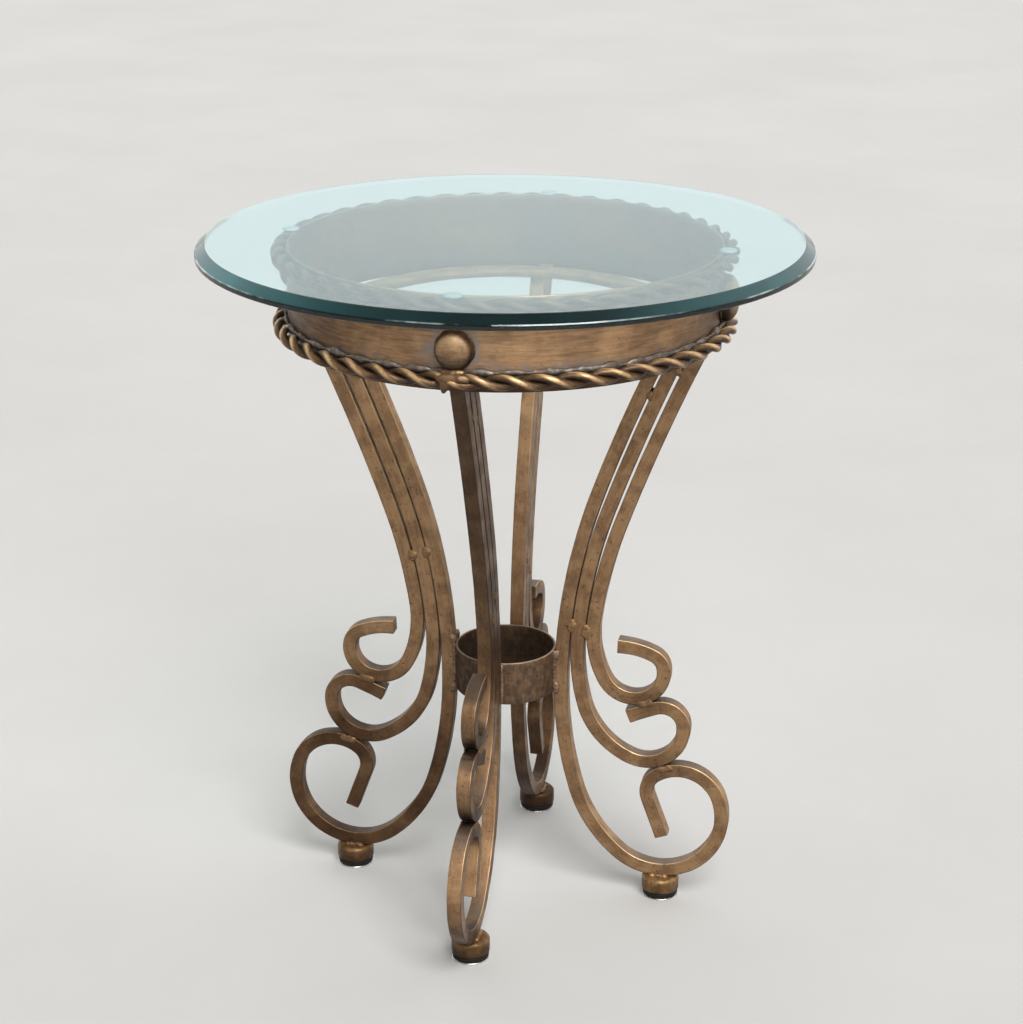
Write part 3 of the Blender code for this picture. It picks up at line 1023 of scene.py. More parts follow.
# %% [markdown]
# ## The solder along the lower rope
#
# Where the lower rope lies on the band, grey solder fills the corner and climbs a little way up the
# band. It could be painted on, but it stands up and catches the light, so it is a flattened bead run
# round the whole corner. It is thick where the rope leaves a hollow and thin where a rod comes close.

# %% Solder fillet
FILLET_CIRCLE = 0.1995
FILLET_HEIGHT = 0.5832
FILLET_SIZE = 0.0019
FILLET_CLIMB = 1.5
FILLET_STEPS = 660
FILLET_SIDES = 10
HOLLOW_TURN = math.radians(45.0)
HOLLOW_SWELL = 0.35
SWELL, SWELL_NOISE = 0.6, 11.0
WAVER, WAVER_NOISE = 0.0012, 43.0

solder_grey = bronze(
    "solder_grey", (78, 64, 53), (128, 118, 109), (150, 140, 130), (220.0, 220.0, 220.0),
    bump=0.8, dirt=paint(70, 56, 46), patch_size=0.009, streaks=0.2, dirt_specks=0.8,
)


def fillet_ring(around):
    """One ring of the bead, swollen in the hollows of the rope and uneven all over."""
    ahead = Vector((math.cos(around), math.sin(around), 0.0))
    hollow = math.cos(2.0 * (rope_twist(around, LOWER_HEIGHT) - HOLLOW_TURN))
    size = FILLET_SIZE * (1.0 + HOLLOW_SWELL * hollow + SWELL * noise.noise(ahead * SWELL_NOISE))
    height = FILLET_HEIGHT + WAVER * noise.noise(ahead * WAVER_NOISE)
    centre = ahead * FILLET_CIRCLE + Vector((0.0, 0.0, height))
    upwards = Vector((0.0, 0.0, FILLET_CLIMB))
    return [centre + size * (out * ahead + up * upwards) for out, up in circle(FILLET_SIDES)]


rings = [fillet_ring(math.tau * step / FILLET_STEPS) for step in range(FILLET_STEPS)]
along = evenly(math.tau * FILLET_CIRCLE, FILLET_STEPS)
fillet_mesh = skin("fillet", rings, along, evenly(math.tau * FILLET_SIZE, FILLET_SIDES), loop=True)
place_piece("solder_fillet", fillet_mesh, solder_grey, "aged_bronze")
print(f"solder bead of {FILLET_STEPS} rings")

# %% [markdown]
# ## The studs
#
# A button of solid metal is welded on the band over each leg. It has a short straight side and a domed
# face, worn bright, with painted shade round its rim, and a lumpy weld bead where it meets the band,
# painted dark as the shade at the stud's foot. Stud and bead are turned upright and then laid over, so
# that they point outwards.

# %% Stud shapes
STUD_DEPTH = stud_high.x - stud_low.x
STUD_SIDE = 0.004
STUD_SQUARENESS = 2.1
CROWN_STEPS = 18
STUD_FOOT = 0.0012
STUD_DARK = 0.92
STUD_DARK_FROM, STUD_DARK_TO = 0.81, 0.95
RING_BEAD = 0.0012
RING_LIFT = 0.4
RING_SIDES = 10


def stud_profile():
    points = [(0.0, STUD_DEPTH)]
    power = 2.0 / STUD_SQUARENESS
    for step in range(1, CROWN_STEPS + 1):
        angle = math.radians(90.0 * step / CROWN_STEPS)
        rise = (STUD_DEPTH - STUD_SIDE) * abs(math.cos(angle)) ** power
        points.append((STUD_RADIUS * math.sin(angle) ** power, STUD_SIDE + rise))
    return [*points, (STUD_RADIUS, STUD_FOOT), (STUD_RADIUS - STUD_FOOT, 0.0), (0.0, 0.0)]


def stud_shade(point):
    """Painted shade round the stud's rim, where the dome falls away to its side."""
    return STUD_DARK * fade(from_axis(point) / STUD_RADIUS, STUD_DARK_FROM, STUD_DARK_TO)


def weld_ring_profile():
    """A small round bead about the stud's foot."""
    return [(STUD_RADIUS + RING_BEAD * out, RING_BEAD * (RING_LIFT + up)) for out, up in circle(RING_SIDES)]


print(f"stud {STUD_RADIUS * 2000:.1f} mm across, {STUD_DEPTH * 1000:.1f} mm deep")

# %% Studs
STUD_STEPS = 56
RING_ROUGH, RING_ROUGH_SIZE = 0.0009, 0.004

stud_bronze = bronze(
    "stud_bronze", (128, 98, 70), (174, 139, 103), (222, 186, 140), (70.0, 70.0, 420.0),
    bump=0.3, patch_size=0.014, streaks=0.5, dirt_specks=0.4, underside=0.2, gloss=0.44, matt=0.56,
)
# The weld bead round each stud is painted dark as the shade at the stud's foot.
shadowed_weld_bronze = bronze(
    "shadowed_weld_bronze", (56, 42, 32), (96, 74, 54), (150, 118, 84), (200.0, 200.0, 200.0),
    bump=0.8, patch_size=0.006,
)


def turn_to_leg(number):
    return Matrix.Rotation(leg_angle(number), 4, "Z")


lay_over = Matrix.Translation((stud_low.x, 0.0, STUD_HEIGHT)) @ Matrix.Rotation(math.radians(90.0), 4, "Y")
for number in LEGS:
    mesh = turned("stud", stud_profile(), STUD_STEPS)
    mark(mesh, "shade", stud_shade)
    weld_ring = turned("stud_weld", weld_ring_profile(), STUD_STEPS, hollow=True)
    for piece in (mesh, weld_ring):
        piece.transform(turn_to_leg(number) @ lay_over)
    roughen(weld_ring, RING_ROUGH, RING_ROUGH_SIZE)
    place_piece(f"dome_stud_{number}", mesh, stud_bronze, "aged_bronze", f"stud_{number}")
    place_piece(f"stud_weld_{number}", weld_ring, shadowed_weld_bronze, "aged_bronze")
print(f"{LEG_COUNT} studs")

# %% [markdown]
# ## The tie ring
#
# Inside the band a flat ring lies on the leg tops and ties them. Nobody polishes it. It is turned from a
# rounded box like the band, and left a little wavy, as bar that was bent flatways is.

# %% Tie ring
RING_WIDTH = 0.0245
RING_ROUNDING = 0.0008
RING_EDGE_SHADE = 0.35
RING_EDGE_DEPTH = 0.0004
RING_WAVE, RING_WAVE_SIZE = 0.0002, 0.012
BOX_STEPS = 2
BOX_SHARP = 60.0

ring_low, ring_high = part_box("tie_ring")
ring_outer = ring_high.x
ring_inner = ring_outer - RING_WIDTH
ring_bronze = bronze(
    "tie_ring_bronze", (136, 108, 80), (190, 156, 118), (210, 176, 132), (60.0, 60.0, 60.0)
)


def ring_shade(point):
    """Dark on the narrow inner edge only."""
    return RING_EDGE_SHADE if from_axis(point) < ring_inner + RING_EDGE_DEPTH else 0.0


profile = rounded_box(ring_inner, ring_outer, ring_low.z, ring_high.z, RING_ROUNDING, BOX_STEPS)
ring_mesh = turned("tie", profile, ROUND_STEPS, hollow=True, sharp=BOX_SHARP)
roughen(ring_mesh, RING_WAVE, RING_WAVE_SIZE)
mark(ring_mesh, "shade", ring_shade)
place_piece("flat_ring", ring_mesh, ring_bronze, "dark_bronze", "tie_ring")
print(f"tie ring {ring_outer * 2:.3f} m across")

# %% [markdown]
# ## The waist collar
#
# At the waist a short cut of tube ties the inner bars. It keeps its dark scale, streaked from top to
# bottom, and its sawn rims are worn to grey. It gets painted shade inside, most of all low down, and on
# the outside round one side. It too is turned from a rounded box.

# %% Waist collar
COLLAR_WALL = 0.0025
COLLAR_ROWS = 6
COLLAR_ROUNDING = 0.0007
COLLAR_WORN = 0.0011
COLLAR_INSIDE_SHADE, COLLAR_LIT = 0.95, 0.3
COLLAR_SIDE_SHADE, COLLAR_SHADE_BEARING, COLLAR_SHADE_POWER = 0.6, 215.0, 1.5

collar_low, collar_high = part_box("waist_collar")
collar_outer = collar_high.x
collar_bronze = bronze(
    "collar_bronze", (84, 64, 48), (138, 109, 82), (176, 154, 126), (330.0, 330.0, 60.0),
    bump=0.8, patch_size=0.008, streaks=0.4, dirt_specks=0.5, gloss=0.46, matt=0.64,
)


def collar_edge(point):
    """One at the upper and lower rims, fading to nought a millimetre away."""
    return fade(min(point.z - collar_low.z, collar_high.z - point.z), COLLAR_WORN, 0.0)


def collar_shade(point):
    """Painted shade: dark inside, most of all low down, and on the outside round one side."""
    if from_axis(point) < collar_outer - COLLAR_WALL / 2.0:
        share = (point.z - collar_low.z) / (collar_high.z - collar_low.z)
        return COLLAR_INSIDE_SHADE - COLLAR_LIT * share ** 2
    return COLLAR_SIDE_SHADE * lobe(point, COLLAR_SHADE_BEARING, COLLAR_SHADE_POWER)


collar_box = (collar_outer - COLLAR_WALL, collar_outer, collar_low.z, collar_high.z)
profile = rounded_box(*collar_box, COLLAR_ROUNDING, BOX_STEPS, COLLAR_ROWS)
collar_mesh = turned("collar", profile, ROUND_STEPS, hollow=True, sharp=BOX_SHARP)
mark(collar_mesh, "edge", collar_edge)
mark(collar_mesh, "shade", collar_shade)
place_piece("tube_collar", collar_mesh, collar_bronze, "dark_bronze", "waist_collar")
print(f"collar {collar_outer * 2000:.1f} mm across")

# %% [markdown]
# ## The feet
#
# Under each lowest scroll sits a round iron bun with an upright side, then a black rubber cushion, then
# a thin plated base on the floor, whose polished lip shows as a bright line. All three are turned. The
# bun was cast rough, so its skin is uneven. The stem that holds them together is hidden, so its solid
# stays and only gets its plating.

# %% Foot finishes
RUBBER_SPECULAR = 0.3

foot_bronze = bronze(
    "foot_bronze", (104, 75, 46), (164, 126, 80), (226, 186, 128), (120.0, 120.0, 120.0),
    bump=0.7, patch_size=0.011, dirt_specks=0.5, gloss=0.36, matt=0.52,
)

rubber, tree, shader, spot = new_material("foot_rubber")
dust = effect(tree, cloudy_patches, spot["Object"], size=0.006)
feed(tree, shader.inputs["Base Color"], mix(tree, dust, paint(10, 10, 10), paint(26, 25, 24)))
feed(tree, shader.inputs["Roughness"], ramp(tree, dust, 0.0, 1.0, 0.5, 0.75))
shader.inputs["Specular IOR Level"].default_value = RUBBER_SPECULAR

nickel, tree, shader, spot = new_material("foot_nickel")
scuffs = effect(tree, brush_streaks, spot["Object"], strokes_per_metre=(200.0, 200.0, 900.0))
feed(tree, shader.inputs["Base Color"], mix(tree, scuffs, paint(206, 202, 196), paint(240, 238, 234)))
feed(tree, shader.inputs["Roughness"], ramp(tree, scuffs, 0.0, 1.0, 0.36, 0.2))
shader.inputs["Metallic"].default_value = 1.0
print("foot finishes:", foot_bronze.name, rubber.name, nickel.name)

# %% Foot profiles
BUN_CROWN = 0.0035
BUN_HEEL = 0.0012
CUSHION_ROUNDING = 0.001
LIP_ROUNDING = 0.0008
LIP_FOOT = 0.0003
STEM_BORE = 0.0033
STEM_ROOM = 0.0103
SIDE_STEPS = 6

bun_low, bun_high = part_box("foot_bun_1")
cushion_low, cushion_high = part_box("foot_cushion_1")
base_low, base_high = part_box("foot_base_1")
FOOT_CIRCLE = (bun_high.x + bun_low.x) / 2.0


def half_width(low, high):
    return (high.y - low.y) / 2.0


def rounded_side(low, high, top_rounding, bottom_rounding):
    """The outer side of a turned piece, from its top down, with both its edges rounded."""
    radius = half_width(low, high)
    upper = (radius - top_rounding, high.z - top_rounding, top_rounding, 90.0)
    lower = (radius - bottom_rounding, low.z + bottom_rounding, bottom_rounding, 0.0)
    return [*quarter_arc(*upper, SIDE_STEPS, -90.0), *quarter_arc(*lower, SIDE_STEPS, -90.0)]


bun_profile = [
    (0.0, bun_high.z),
    *rounded_side(bun_low, bun_high, BUN_CROWN, BUN_HEEL),
    (STEM_BORE, bun_low.z),
    (STEM_BORE, bun_low.z + STEM_ROOM),
    (0.0, bun_low.z + STEM_ROOM),
]
cushion_profile = [
    (STEM_BORE, cushion_high.z),
    *rounded_side(cushion_low, cushion_high, CUSHION_ROUNDING, CUSHION_ROUNDING),
    (STEM_BORE, cushion_low.z),
]
base_profile = [
    (0.0, base_high.z),
    *rounded_side(base_low, base_high, LIP_ROUNDING, LIP_FOOT),
    (0.0, base_low.z),
]
print(f"profiles of {len(bun_profile)}, {len(cushion_profile)} and {len(base_profile)} points")

# %% Turn the feet
FOOT_STEPS = 48
BUN_GOLD_RISE, BUN_GOLD_MOST = 0.5, 0.42
BUN_SHADE = {1: 0.0, 2: 0.86, 3: 0.35, 4: 0.4}
BUN_LOW_SHADE, BUN_DARKEST = 0.55, 0.93
BUN_ROUGH, BUN_ROUGH_SIZE = 0.0003, 0.0055


def bun_gold_and_highlight(point):
    """Rubbed gold with a painted highlight, on the crown and on the upper half of the side."""
    return max(0.0, min(BUN_GOLD_MOST, (point.z - bun_low.z) / (bun_high.z - bun_low.z) * BUN_GOLD_RISE))


def bun_shade(point, shade):
    """Painted shade: darker towards the floor, and some buns darker than others."""
    share = (bun_high.z - point.z) / (bun_high.z - bun_low.z)
    return min(BUN_DARKEST, shade + BUN_LOW_SHADE * share ** 2)


for number in LEGS:
    bun = turned("bun", bun_profile, FOOT_STEPS)
    mark(bun, "edge", bun_gold_and_highlight)
    mark(bun, "shade", lambda point: bun_shade(point, BUN_SHADE[number]))
    cushion = turned("cushion", cushion_profile, FOOT_STEPS, hollow=True)
    base = turned("base", base_profile, FOOT_STEPS)
    for mesh in (bun, cushion, base):
        mesh.transform(turn_to_leg(number) @ Matrix.Translation((FOOT_CIRCLE, 0.0, 0.0)))
    roughen(bun, BUN_ROUGH, BUN_ROUGH_SIZE)
    place_piece(f"bun_{number}", bun, foot_bronze, "aged_bronze", f"foot_bun_{number}")
    place_piece(f"cushion_{number}", cushion, rubber, "black_rubber", f"foot_cushion_{number}")
    place_piece(f"base_{number}", base, nickel, "nickel_plate", f"foot_base_{number}")
    stem = frame["nodes"][f"foot_stem_{number}"]
    stem.data.materials.clear()
    stem.data.materials.append(nickel)
print(f"{LEG_COUNT} feet on a circle of {FOOT_CIRCLE * 2:.3f} m")

# %% [markdown]
# ## The welds
#
# Nothing here is bolted: every place where two bars touch is held by a small weld, and the lumps show.
# A bead is a run of overlapping balls of uneven size, flattened where it was ground or hammered down.
# A lump is one ball spoiled by five smaller ones, mostly above and below it. The noise that scatters
# the balls starts from the clock unless its seed is set, so the seed is set here and the welds come out
# alike on every run.

# %% Beads and lumps
BALL_ROUNDNESS = 2
BEAD_SPACING = 0.35
LUMP_BALLS = 5
LUMP_ACROSS, LUMP_UP = 0.45, 0.85
LUMP_SHARE, LUMP_SPREAD = 0.66, 0.4
WELD_SEED = 11
noise.seed_set(WELD_SEED)


def add_ball(shape, place, half_widths, roundness=BALL_ROUNDNESS):
    ball = Matrix.Translation(place) @ Matrix.Diagonal((*half_widths, 1.0))
    bmesh.ops.create_icosphere(shape, subdivisions=roundness, radius=1.0, matrix=ball)


def add_bead(shape, start, end, size, seed, flat=1.0, uneven=0.3):
    """A run of overlapping balls from one point to the other, flattened across the leg by a share."""
    start, end = Vector(start), Vector(end)
    count = max(1, math.ceil((end - start).length / (size * BEAD_SPACING)))
    for step in range(count + 1):
        wobble = noise.noise_vector(Vector((seed * 3.1, step * 0.55, seed * 0.7)))
        radius = size * (1.0 + uneven * wobble.z)
        place = start.lerp(end, step / count) + wobble * size * uneven
        add_ball(shape, place, (radius, radius * flat, radius))


def add_lump(shape, place, size, seed, flat):
    """A ball flattened across the leg, with five smaller ones, mostly above and below, that spoil it."""
    balls = [(0.0, 0.0, 1.0)]
    for turn in range(LUMP_BALLS):
        jitter = noise.noise_vector(Vector((seed * 5.3, turn * 2.7, 1.1)))
        angle = math.tau * (turn + jitter.x) / LUMP_BALLS
        share = LUMP_SHARE + LUMP_SPREAD * jitter.y
        balls.append((LUMP_ACROSS * math.cos(angle), LUMP_UP * math.sin(angle), share))
    for across, up, share in balls:
        spot = Vector(place) + size * Vector((across, 0.0, up))
        add_ball(shape, spot, (size * share, size * flat * share ** 0.5, size * share))


print(f"weld noise seeded with {WELD_SEED}")

# %% [markdown]
# The balls of one leg are fused by a voxel remesh into one skin, which gives the swollen, melted look,
# and then roughened. Joining the balls with booleans would leave sharp creases between them.

# %% Melt the balls together
WELD_VOXEL = 0.0006
WELD_SETTLING = 8
WELD_ROUGH, WELD_ROUGH_SIZE = 0.00025, 0.0026
WELD_WEAR = 0.12


def fuse(name, shape, settling=WELD_SETTLING):
    """Melts overlapping balls into one closed skin and lets it settle smooth."""
    balls = bpy.data.meshes.new("balls")
    shape.to_mesh(balls)
    shape.free()
    carrier = bpy.data.objects.new("balls", balls)
    bpy.context.scene.collection.objects.link(carrier)
    melt = carrier.modifiers.new("melt", "REMESH")
    melt.mode = "VOXEL"
    melt.voxel_size = WELD_VOXEL
    settle = carrier.modifiers.new("settle", "SMOOTH")
    settle.iterations = settling
    ready = carrier.evaluated_get(bpy.context.evaluated_depsgraph_get())
    mesh = bpy.data.meshes.new_from_object(ready)
    mesh.name = name
    bpy.data.objects.remove(carrier)
    bpy.data.meshes.remove(balls)
    roughen(mesh, WELD_ROUGH, WELD_ROUGH_SIZE)
    mesh.shade_smooth()
    store(mesh, "edge", [WELD_WEAR] * len(mesh.vertices))
    return mesh


print(f"welds melt at {WELD_VOXEL * 1000:.1f} mm")

# %% [markdown]
# The table below holds, for each leg, the heights of its welds: a nugget half way down and a smaller
# tack near the top, first between the inner and middle bars and then between the middle and outer bars.
# They differ from leg to leg, because they were set by eye. Where a weld lies between two bars is read
# off the bars' own lines.

# %% Welds between the bars
TACKS = {
    1: ((0.280, 0.513), (0.275, 0.536)),
    2: ((0.316, 0.520), (0.300, 0.530)),
    3: ((0.344, 0.517), (0.340, 0.540)),
    4: ((0.330, 0.524), (0.312, 0.533)),
}
PAIRS = (("inner", "middle"), ("middle", "outer"))
NUGGET = 0.0048
TACK = 0.0036
BEAD = 0.0040
FLATTENED = 0.3
BEAD_START, BEAD_END = Vector((-0.005, 0.0, -0.001)), Vector((0.004, 0.0, 0.001))
SIDES = (-BAR / 2.0, BAR / 2.0)


def bar_at(name, height):
    """The radius of a bar's upper run at a height."""
    for (radius, upper, _, _), (next_radius, lower, _, _) in zip(LINES[name], LINES[name][1:]):
        if lower <= height <= upper:
            return radius + (next_radius - radius) * (upper - height) / (upper - lower)
    raise ValueError(f"{name} bar doesn't pass {height}")


def weld_bars(shape, number):
    """Nuggets and tacks between the bars' upper runs, on both sides of the leg."""
    for (inside, outside), heights in zip(PAIRS, TACKS[number]):
        for height, size in zip(heights, (NUGGET, TACK)):
            across = (bar_at(inside, height) + bar_at(outside, height)) / 2.0
            for side in SIDES:
                add_lump(shape, (across, side, height), size, number + 7.0 * height + side, FLATTENED)


def weld_scrolls(shape, number):
    """Beads where one scroll rests on the next."""
    for side in SIDES:
        for across, height in SCROLL_WELDS:
            spot = Vector((across, side, height))
            add_bead(shape, spot + BEAD_START, spot + BEAD_END, BEAD, number + across, FLATTENED)


print("bars' radii at 0.45 m:", [round(bar_at(name, 0.45), 4) for name in BARS])

# %% [markdown]
# The inner bars are also welded to the collar, by a thin seam down each side with lumps at its ends on
# two legs, and each foot's bun has a bead on its crown.

# %% Welds at collar and foot
SEAM = 0.0023
SEAM_LOW, SEAM_HIGH = 0.214, 0.250
SEAM_OUT = collar_outer + 0.0004
SEAM_FLAT, SEAM_UNEVEN = 0.9, 0.12
COLLAR_LUMPS = {1: (0.249, 0.214), 3: (0.257, 0.205)}
COLLAR_LUMP = 0.0040
COLLAR_LUMP_OUT = collar_outer + 0.002
COLLAR_LUMP_FLAT = 0.6
FOOT_BEAD = 0.0025
FOOT_BEAD_START, FOOT_BEAD_END = FOOT_CIRCLE - 0.008, FOOT_CIRCLE + 0.006
FOOT_BEAD_SIDES = (-BAR / 2.0 - 0.0006, BAR / 2.0 + 0.0006)


def weld_collar(shape, number):
    """Seams where the inner bar passes the collar, with lumps at their ends on some legs."""
    for side in SIDES:
        low, high = (SEAM_OUT, side, SEAM_LOW), (SEAM_OUT, side, SEAM_HIGH)
        add_bead(shape, low, high, SEAM, number + side, SEAM_FLAT, SEAM_UNEVEN)
        for height in COLLAR_LUMPS.get(number, ()):
            spot = (COLLAR_LUMP_OUT, side, height)
            add_lump(shape, spot, COLLAR_LUMP, number + 9.0 * height, COLLAR_LUMP_FLAT)


def weld_foot(shape, number):
    """Beads on top of the foot bun."""
    for side in FOOT_BEAD_SIDES:
        start, end = (FOOT_BEAD_START, side, bun_high.z), (FOOT_BEAD_END, side, bun_high.z)
        add_bead(shape, start, end, FOOT_BEAD, number * 1.3 + side)


print(f"collar seams {(SEAM_HIGH - SEAM_LOW) * 1000:.0f} mm long")

# %% Weld each leg
WELD_SHADE = 0.6

weld_bronze = bronze(
    "weld_bronze", (130, 98, 68), (178, 140, 99), (224, 186, 136), (200.0, 200.0, 200.0),
    bump=0.7, patch_size=0.008, gloss=0.44, matt=0.58,
)
bare_weld = bronze(
    "bare_weld", (96, 78, 64), (170, 139, 114), (212, 180, 150), (200.0, 200.0, 200.0),
    bump=0.9, dirt=paint(60, 47, 38), patch_size=0.006, dirt_specks=0.8,
)

for number in LEGS:
    shape = bmesh.new()
    weld_bars(shape, number)
    weld_scrolls(shape, number)
    weld_foot(shape, number)
    mesh = fuse(f"leg_{number}", shape)
    seams = bmesh.new()
    weld_collar(seams, number)
    seam_mesh = fuse(f"collar_seams_{number}", seams)
    mesh.transform(turn_to_leg(number))
    seam_mesh.transform(turn_to_leg(number))
    mark(mesh, "shade", lambda point: WELD_SHADE * leg_shade_and_scorch(point, number))
    place_piece(f"leg_welds_{number}", mesh, weld_bronze, "aged_bronze")
    place_piece(f"collar_seams_{number}", seam_mesh, bare_weld, "aged_bronze")
print(f"{LEG_COUNT} legs welded, {len(mesh.vertices)} points on the last")

# %% [markdown]
# ## Where the rope closes
#
# The two ends of the lower rope meet under the front stud, in a low patch of braze with a drip below.
# It is melted together from a few flat balls, each given by its place and its three half widths, and it
# takes the rope's own finish.

# %% Rope joint
ROPE_JOINT_LEG = 4
ROPE_JOINT = (
    ((0.2072, -0.0030, 0.5790), (0.0046, 0.0125, 0.0052)),
    ((0.2070, 0.0065, 0.5796), (0.0045, 0.0085, 0.0046)),
    ((0.2036, -0.0010, 0.5848), (0.0034, 0.0115, 0.0032)),
    ((0.2086, -0.0060, 0.5745), (0.0032, 0.0050, 0.0050)),
    ((0.2092, -0.0068, 0.5715), (0.0024, 0.0034, 0.0036)),
    ((0.2094, -0.0074, 0.5692), (0.0016, 0.0022, 0.0026)),
)
JOINT_ROUNDNESS = 3
JOINT_SETTLING = 14
JOINT_ROUGH, JOINT_ROUGH_SIZE = 0.0006, 0.0055
JOINT_SHADE, JOINT_CLOUDS, JOINT_CLOUD_SIZE = 0.18, 0.4, 0.007


def joint_shade(point):
    return JOINT_SHADE - JOINT_CLOUDS * noise.noise(point / JOINT_CLOUD_SIZE)


shape = bmesh.new()
for place, half_widths in ROPE_JOINT:
    add_ball(shape, place, half_widths, JOINT_ROUNDNESS)
joint_mesh = fuse("rope_joint", shape, JOINT_SETTLING)
roughen(joint_mesh, JOINT_ROUGH, JOINT_ROUGH_SIZE)
mark(joint_mesh, "shade", joint_shade)
joint_mesh.transform(turn_to_leg(ROPE_JOINT_LEG))
place_piece("rope_joint", joint_mesh, rope_bronze, "aged_bronze")
print(f"rope joint of {len(joint_mesh.vertices)} points")

# %% [markdown]
# ## The glass
#
# The top is float glass with a wide polished bevel over an upright edge. Its green comes from depth:
# light that travels far inside, along the rim, loses its red. So the surface is colourless and the
# colour is an absorption in the volume. Light trapped in the rim leaves it as a deep teal glow after
# more bounces than a render follows, so the bevel and the edge get a very little painted teal glow of
# their own. A faint smear in the roughness stands for wiping marks. The narrow facet between bevel and
# edge, polished last, gets broken runs of painted glint.

# %% Glass material
GLASS_IOR = 1.52
GLASS_GREEN = (0.25, 0.87, 0.89, 1.0)
GLASS_DENSITY = 22.0
SMEAR = 0.02
RIM_TEAL = (0.022, 0.157, 0.165, 1.0)
DRIFT_LEAST = 0.5
GLINT = (0.42, 0.52, 0.50, 1.0)
BLACK = (0.0, 0.0, 0.0, 1.0)
WHITE = (1.0, 1.0, 1.0, 1.0)

glass, tree, shader, spot = new_material("green_float_glass")
place = spot["Object"]
smears = effect(tree, cloudy_patches, place, size=0.08)
feed(tree, shader.inputs["Roughness"], ramp(tree, smears, 0.0, 1.0, 0.0, SMEAR))
drift = effect(tree, cloudy_patches, place, size=0.16, low=0.3, high=0.7)
drift = ramp(tree, drift, 0.0, 1.0, DRIFT_LEAST, 1.0)
glow = mix(tree, times(tree, stored(tree, "rim"), drift), BLACK, RIM_TEAL)
runs = effect(tree, cloudy_patches, place, size=0.07, low=0.44, high=0.62)
glow = mix(tree, times(tree, stored(tree, "glint"), runs), glow, GLINT)
feed(tree, shader.inputs["Emission Color"], glow)
shader.inputs["Emission Strength"].default_value = 1.0
shader.inputs["Base Color"].default_value = WHITE
shader.inputs["Transmission Weight"].default_value = 1.0
shader.inputs["IOR"].default_value = GLASS_IOR
body_colour = put(tree, "ShaderNodeVolumeAbsorption", {"Color": GLASS_GREEN, "Density": GLASS_DENSITY})
feed(tree, tree.nodes["Material Output"].inputs["Volume"], body_colour.outputs["Volume"])
print(f"glass of {len(tree.nodes)} nodes")

# %% [markdown]
# The glass is turned from a profile that walks out along the top, down the bevel, over the facet, down
# the edge and back along the underside. Two extra points beside the facet keep its glint from spreading.
# The painted teal glow gathers in four long stretches round the rim. Clear glass lets the light
# through to what lies under it, so it casts no shadow here.

# %% Glass shape
BEVEL_WIDTH = 0.0091
BEVEL_DROP = 0.007
ARRIS = 0.0005
EDGE_ARRIS = 0.0009
GLINT_FADE = 0.00015
RIM_STRETCHES = ((230.0, 0.88), (334.0, 0.66), (50.0, 0.55), (140.0, 0.62))
STRETCH_POWER = 12
RIM_DIM = 0.12
EDGE_DIM = 0.04
GLASS_STEPS = 320
GLASS_SHARP = 12.0

glass_low, glass_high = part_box("glass_top")
GLASS_RADIUS = glass_high.x
top, bottom = glass_high.z, glass_low.z
bevel_foot = Vector((GLASS_RADIUS - EDGE_ARRIS, top - BEVEL_DROP))
edge_head = Vector((GLASS_RADIUS - EDGE_ARRIS / 4.0, top - BEVEL_DROP - EDGE_ARRIS))
downhill = (bevel_foot - Vector((GLASS_RADIUS - BEVEL_WIDTH, top))).normalized()
glass_profile = [
    (0.0, top),
    (GLASS_RADIUS - BEVEL_WIDTH - ARRIS, top),
    (GLASS_RADIUS - BEVEL_WIDTH + ARRIS, top + ARRIS * downhill.y / downhill.x),
    tuple(bevel_foot - GLINT_FADE * downhill),
    tuple(bevel_foot),
    tuple(edge_head),
    (GLASS_RADIUS - EDGE_ARRIS / 6.0, edge_head.y - GLINT_FADE),
    (GLASS_RADIUS, edge_head.y - EDGE_ARRIS),
    (GLASS_RADIUS, bottom + ARRIS),
    (GLASS_RADIUS - ARRIS, bottom),
    (0.0, bottom),
]


def facet_glint(point):
    """Painted glint: one on the narrow facet between the bevel and the edge, nought elsewhere."""
    spot = Vector((from_axis(point), point.z))
    return 1.0 if min((spot - bevel_foot).length, (spot - edge_head).length) < GLINT_FADE / 2.0 else 0.0


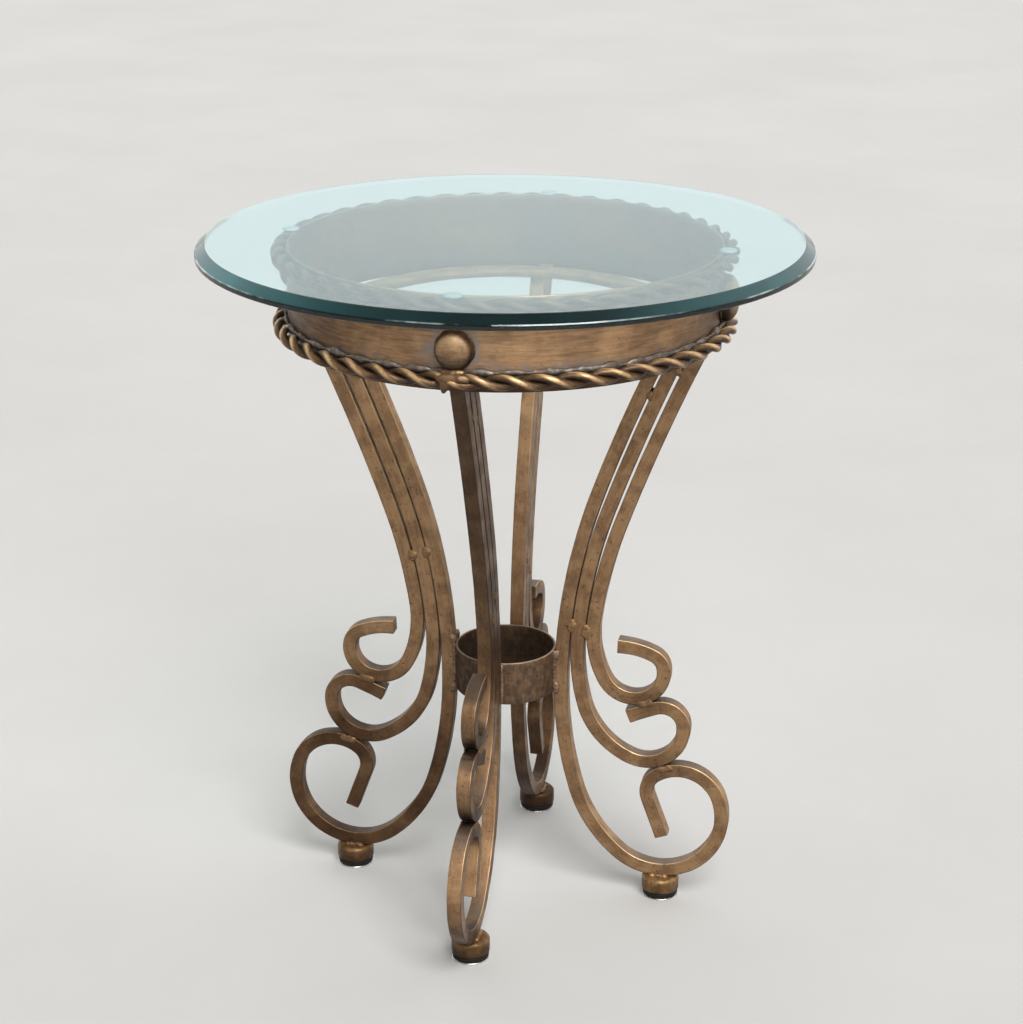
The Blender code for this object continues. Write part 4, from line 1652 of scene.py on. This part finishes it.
def rim_glow(point):
    """Painted glow: most in stretches of the bevel, little on the upright edge, nought on both flats."""
    if from_axis(point) < GLASS_RADIUS - BEVEL_WIDTH or point.z < bottom + ARRIS / 2.0:
        return 0.0
    if point.z < top - BEVEL_DROP - ARRIS / 2.0:
        return EDGE_DIM
    gathered = sum(amount * lobe(point, middle, STRETCH_POWER) for middle, amount in RIM_STRETCHES)
    return min(1.0, RIM_DIM + gathered)


glass_mesh = turned("glass", glass_profile, GLASS_STEPS, sharp=GLASS_SHARP)
mark(glass_mesh, "rim", rim_glow)
mark(glass_mesh, "glint", facet_glint)
bevelled_glass = place_piece("bevelled_glass", glass_mesh, glass, "green_glass", "glass_top")
bevelled_glass.visible_shadow = False
print(f"glass {GLASS_RADIUS * 2:.4f} m across, {(top - bottom) * 1000:.1f} mm thick")

# %% [markdown]
# ## The pads under the glass
#
# Four clear drops of vinyl keep the glass off the iron. Each is turned with a slight taper, hazy from
# handling, and lies over the band's rim above its leg.

# %% Pads
PAD_SHOULDER = 0.0012
PAD_CLEARNESS = 0.6
PAD_IOR = 1.5

vinyl, tree, shader, spot = new_material("pad_vinyl")
haze = effect(tree, cloudy_patches, spot["Object"], size=0.004)
feed(tree, shader.inputs["Base Color"], mix(tree, haze, paint(186, 196, 196), paint(206, 214, 214)))
feed(tree, shader.inputs["Roughness"], ramp(tree, haze, 0.0, 1.0, 0.3, 0.45))
shader.inputs["Transmission Weight"].default_value = PAD_CLEARNESS
shader.inputs["IOR"].default_value = PAD_IOR

pad_low, pad_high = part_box("glass_pad_1")
pad_radius = half_width(pad_low, pad_high)
pad_profile = [
    (0.0, pad_high.z),
    (pad_radius - PAD_SHOULDER, pad_high.z),
    (pad_radius - PAD_SHOULDER / 2.0, pad_high.z - PAD_SHOULDER / 4.0),
    (pad_radius, pad_low.z + PAD_SHOULDER / 3.0),
    (pad_radius - PAD_SHOULDER / 4.0, pad_low.z),
    (0.0, pad_low.z),
]
out_to_band = Matrix.Translation(((pad_low.x + pad_high.x) / 2.0, 0.0, 0.0))
for number in LEGS:
    mesh = turned("pad", pad_profile, FOOT_STEPS)
    mesh.transform(turn_to_leg(number) @ out_to_band)
    place_piece(f"clear_pad_{number}", mesh, vinyl, "clear_pad", f"glass_pad_{number}")
print(f"{LEG_COUNT} pads, {pad_radius * 2000:.0f} mm across")
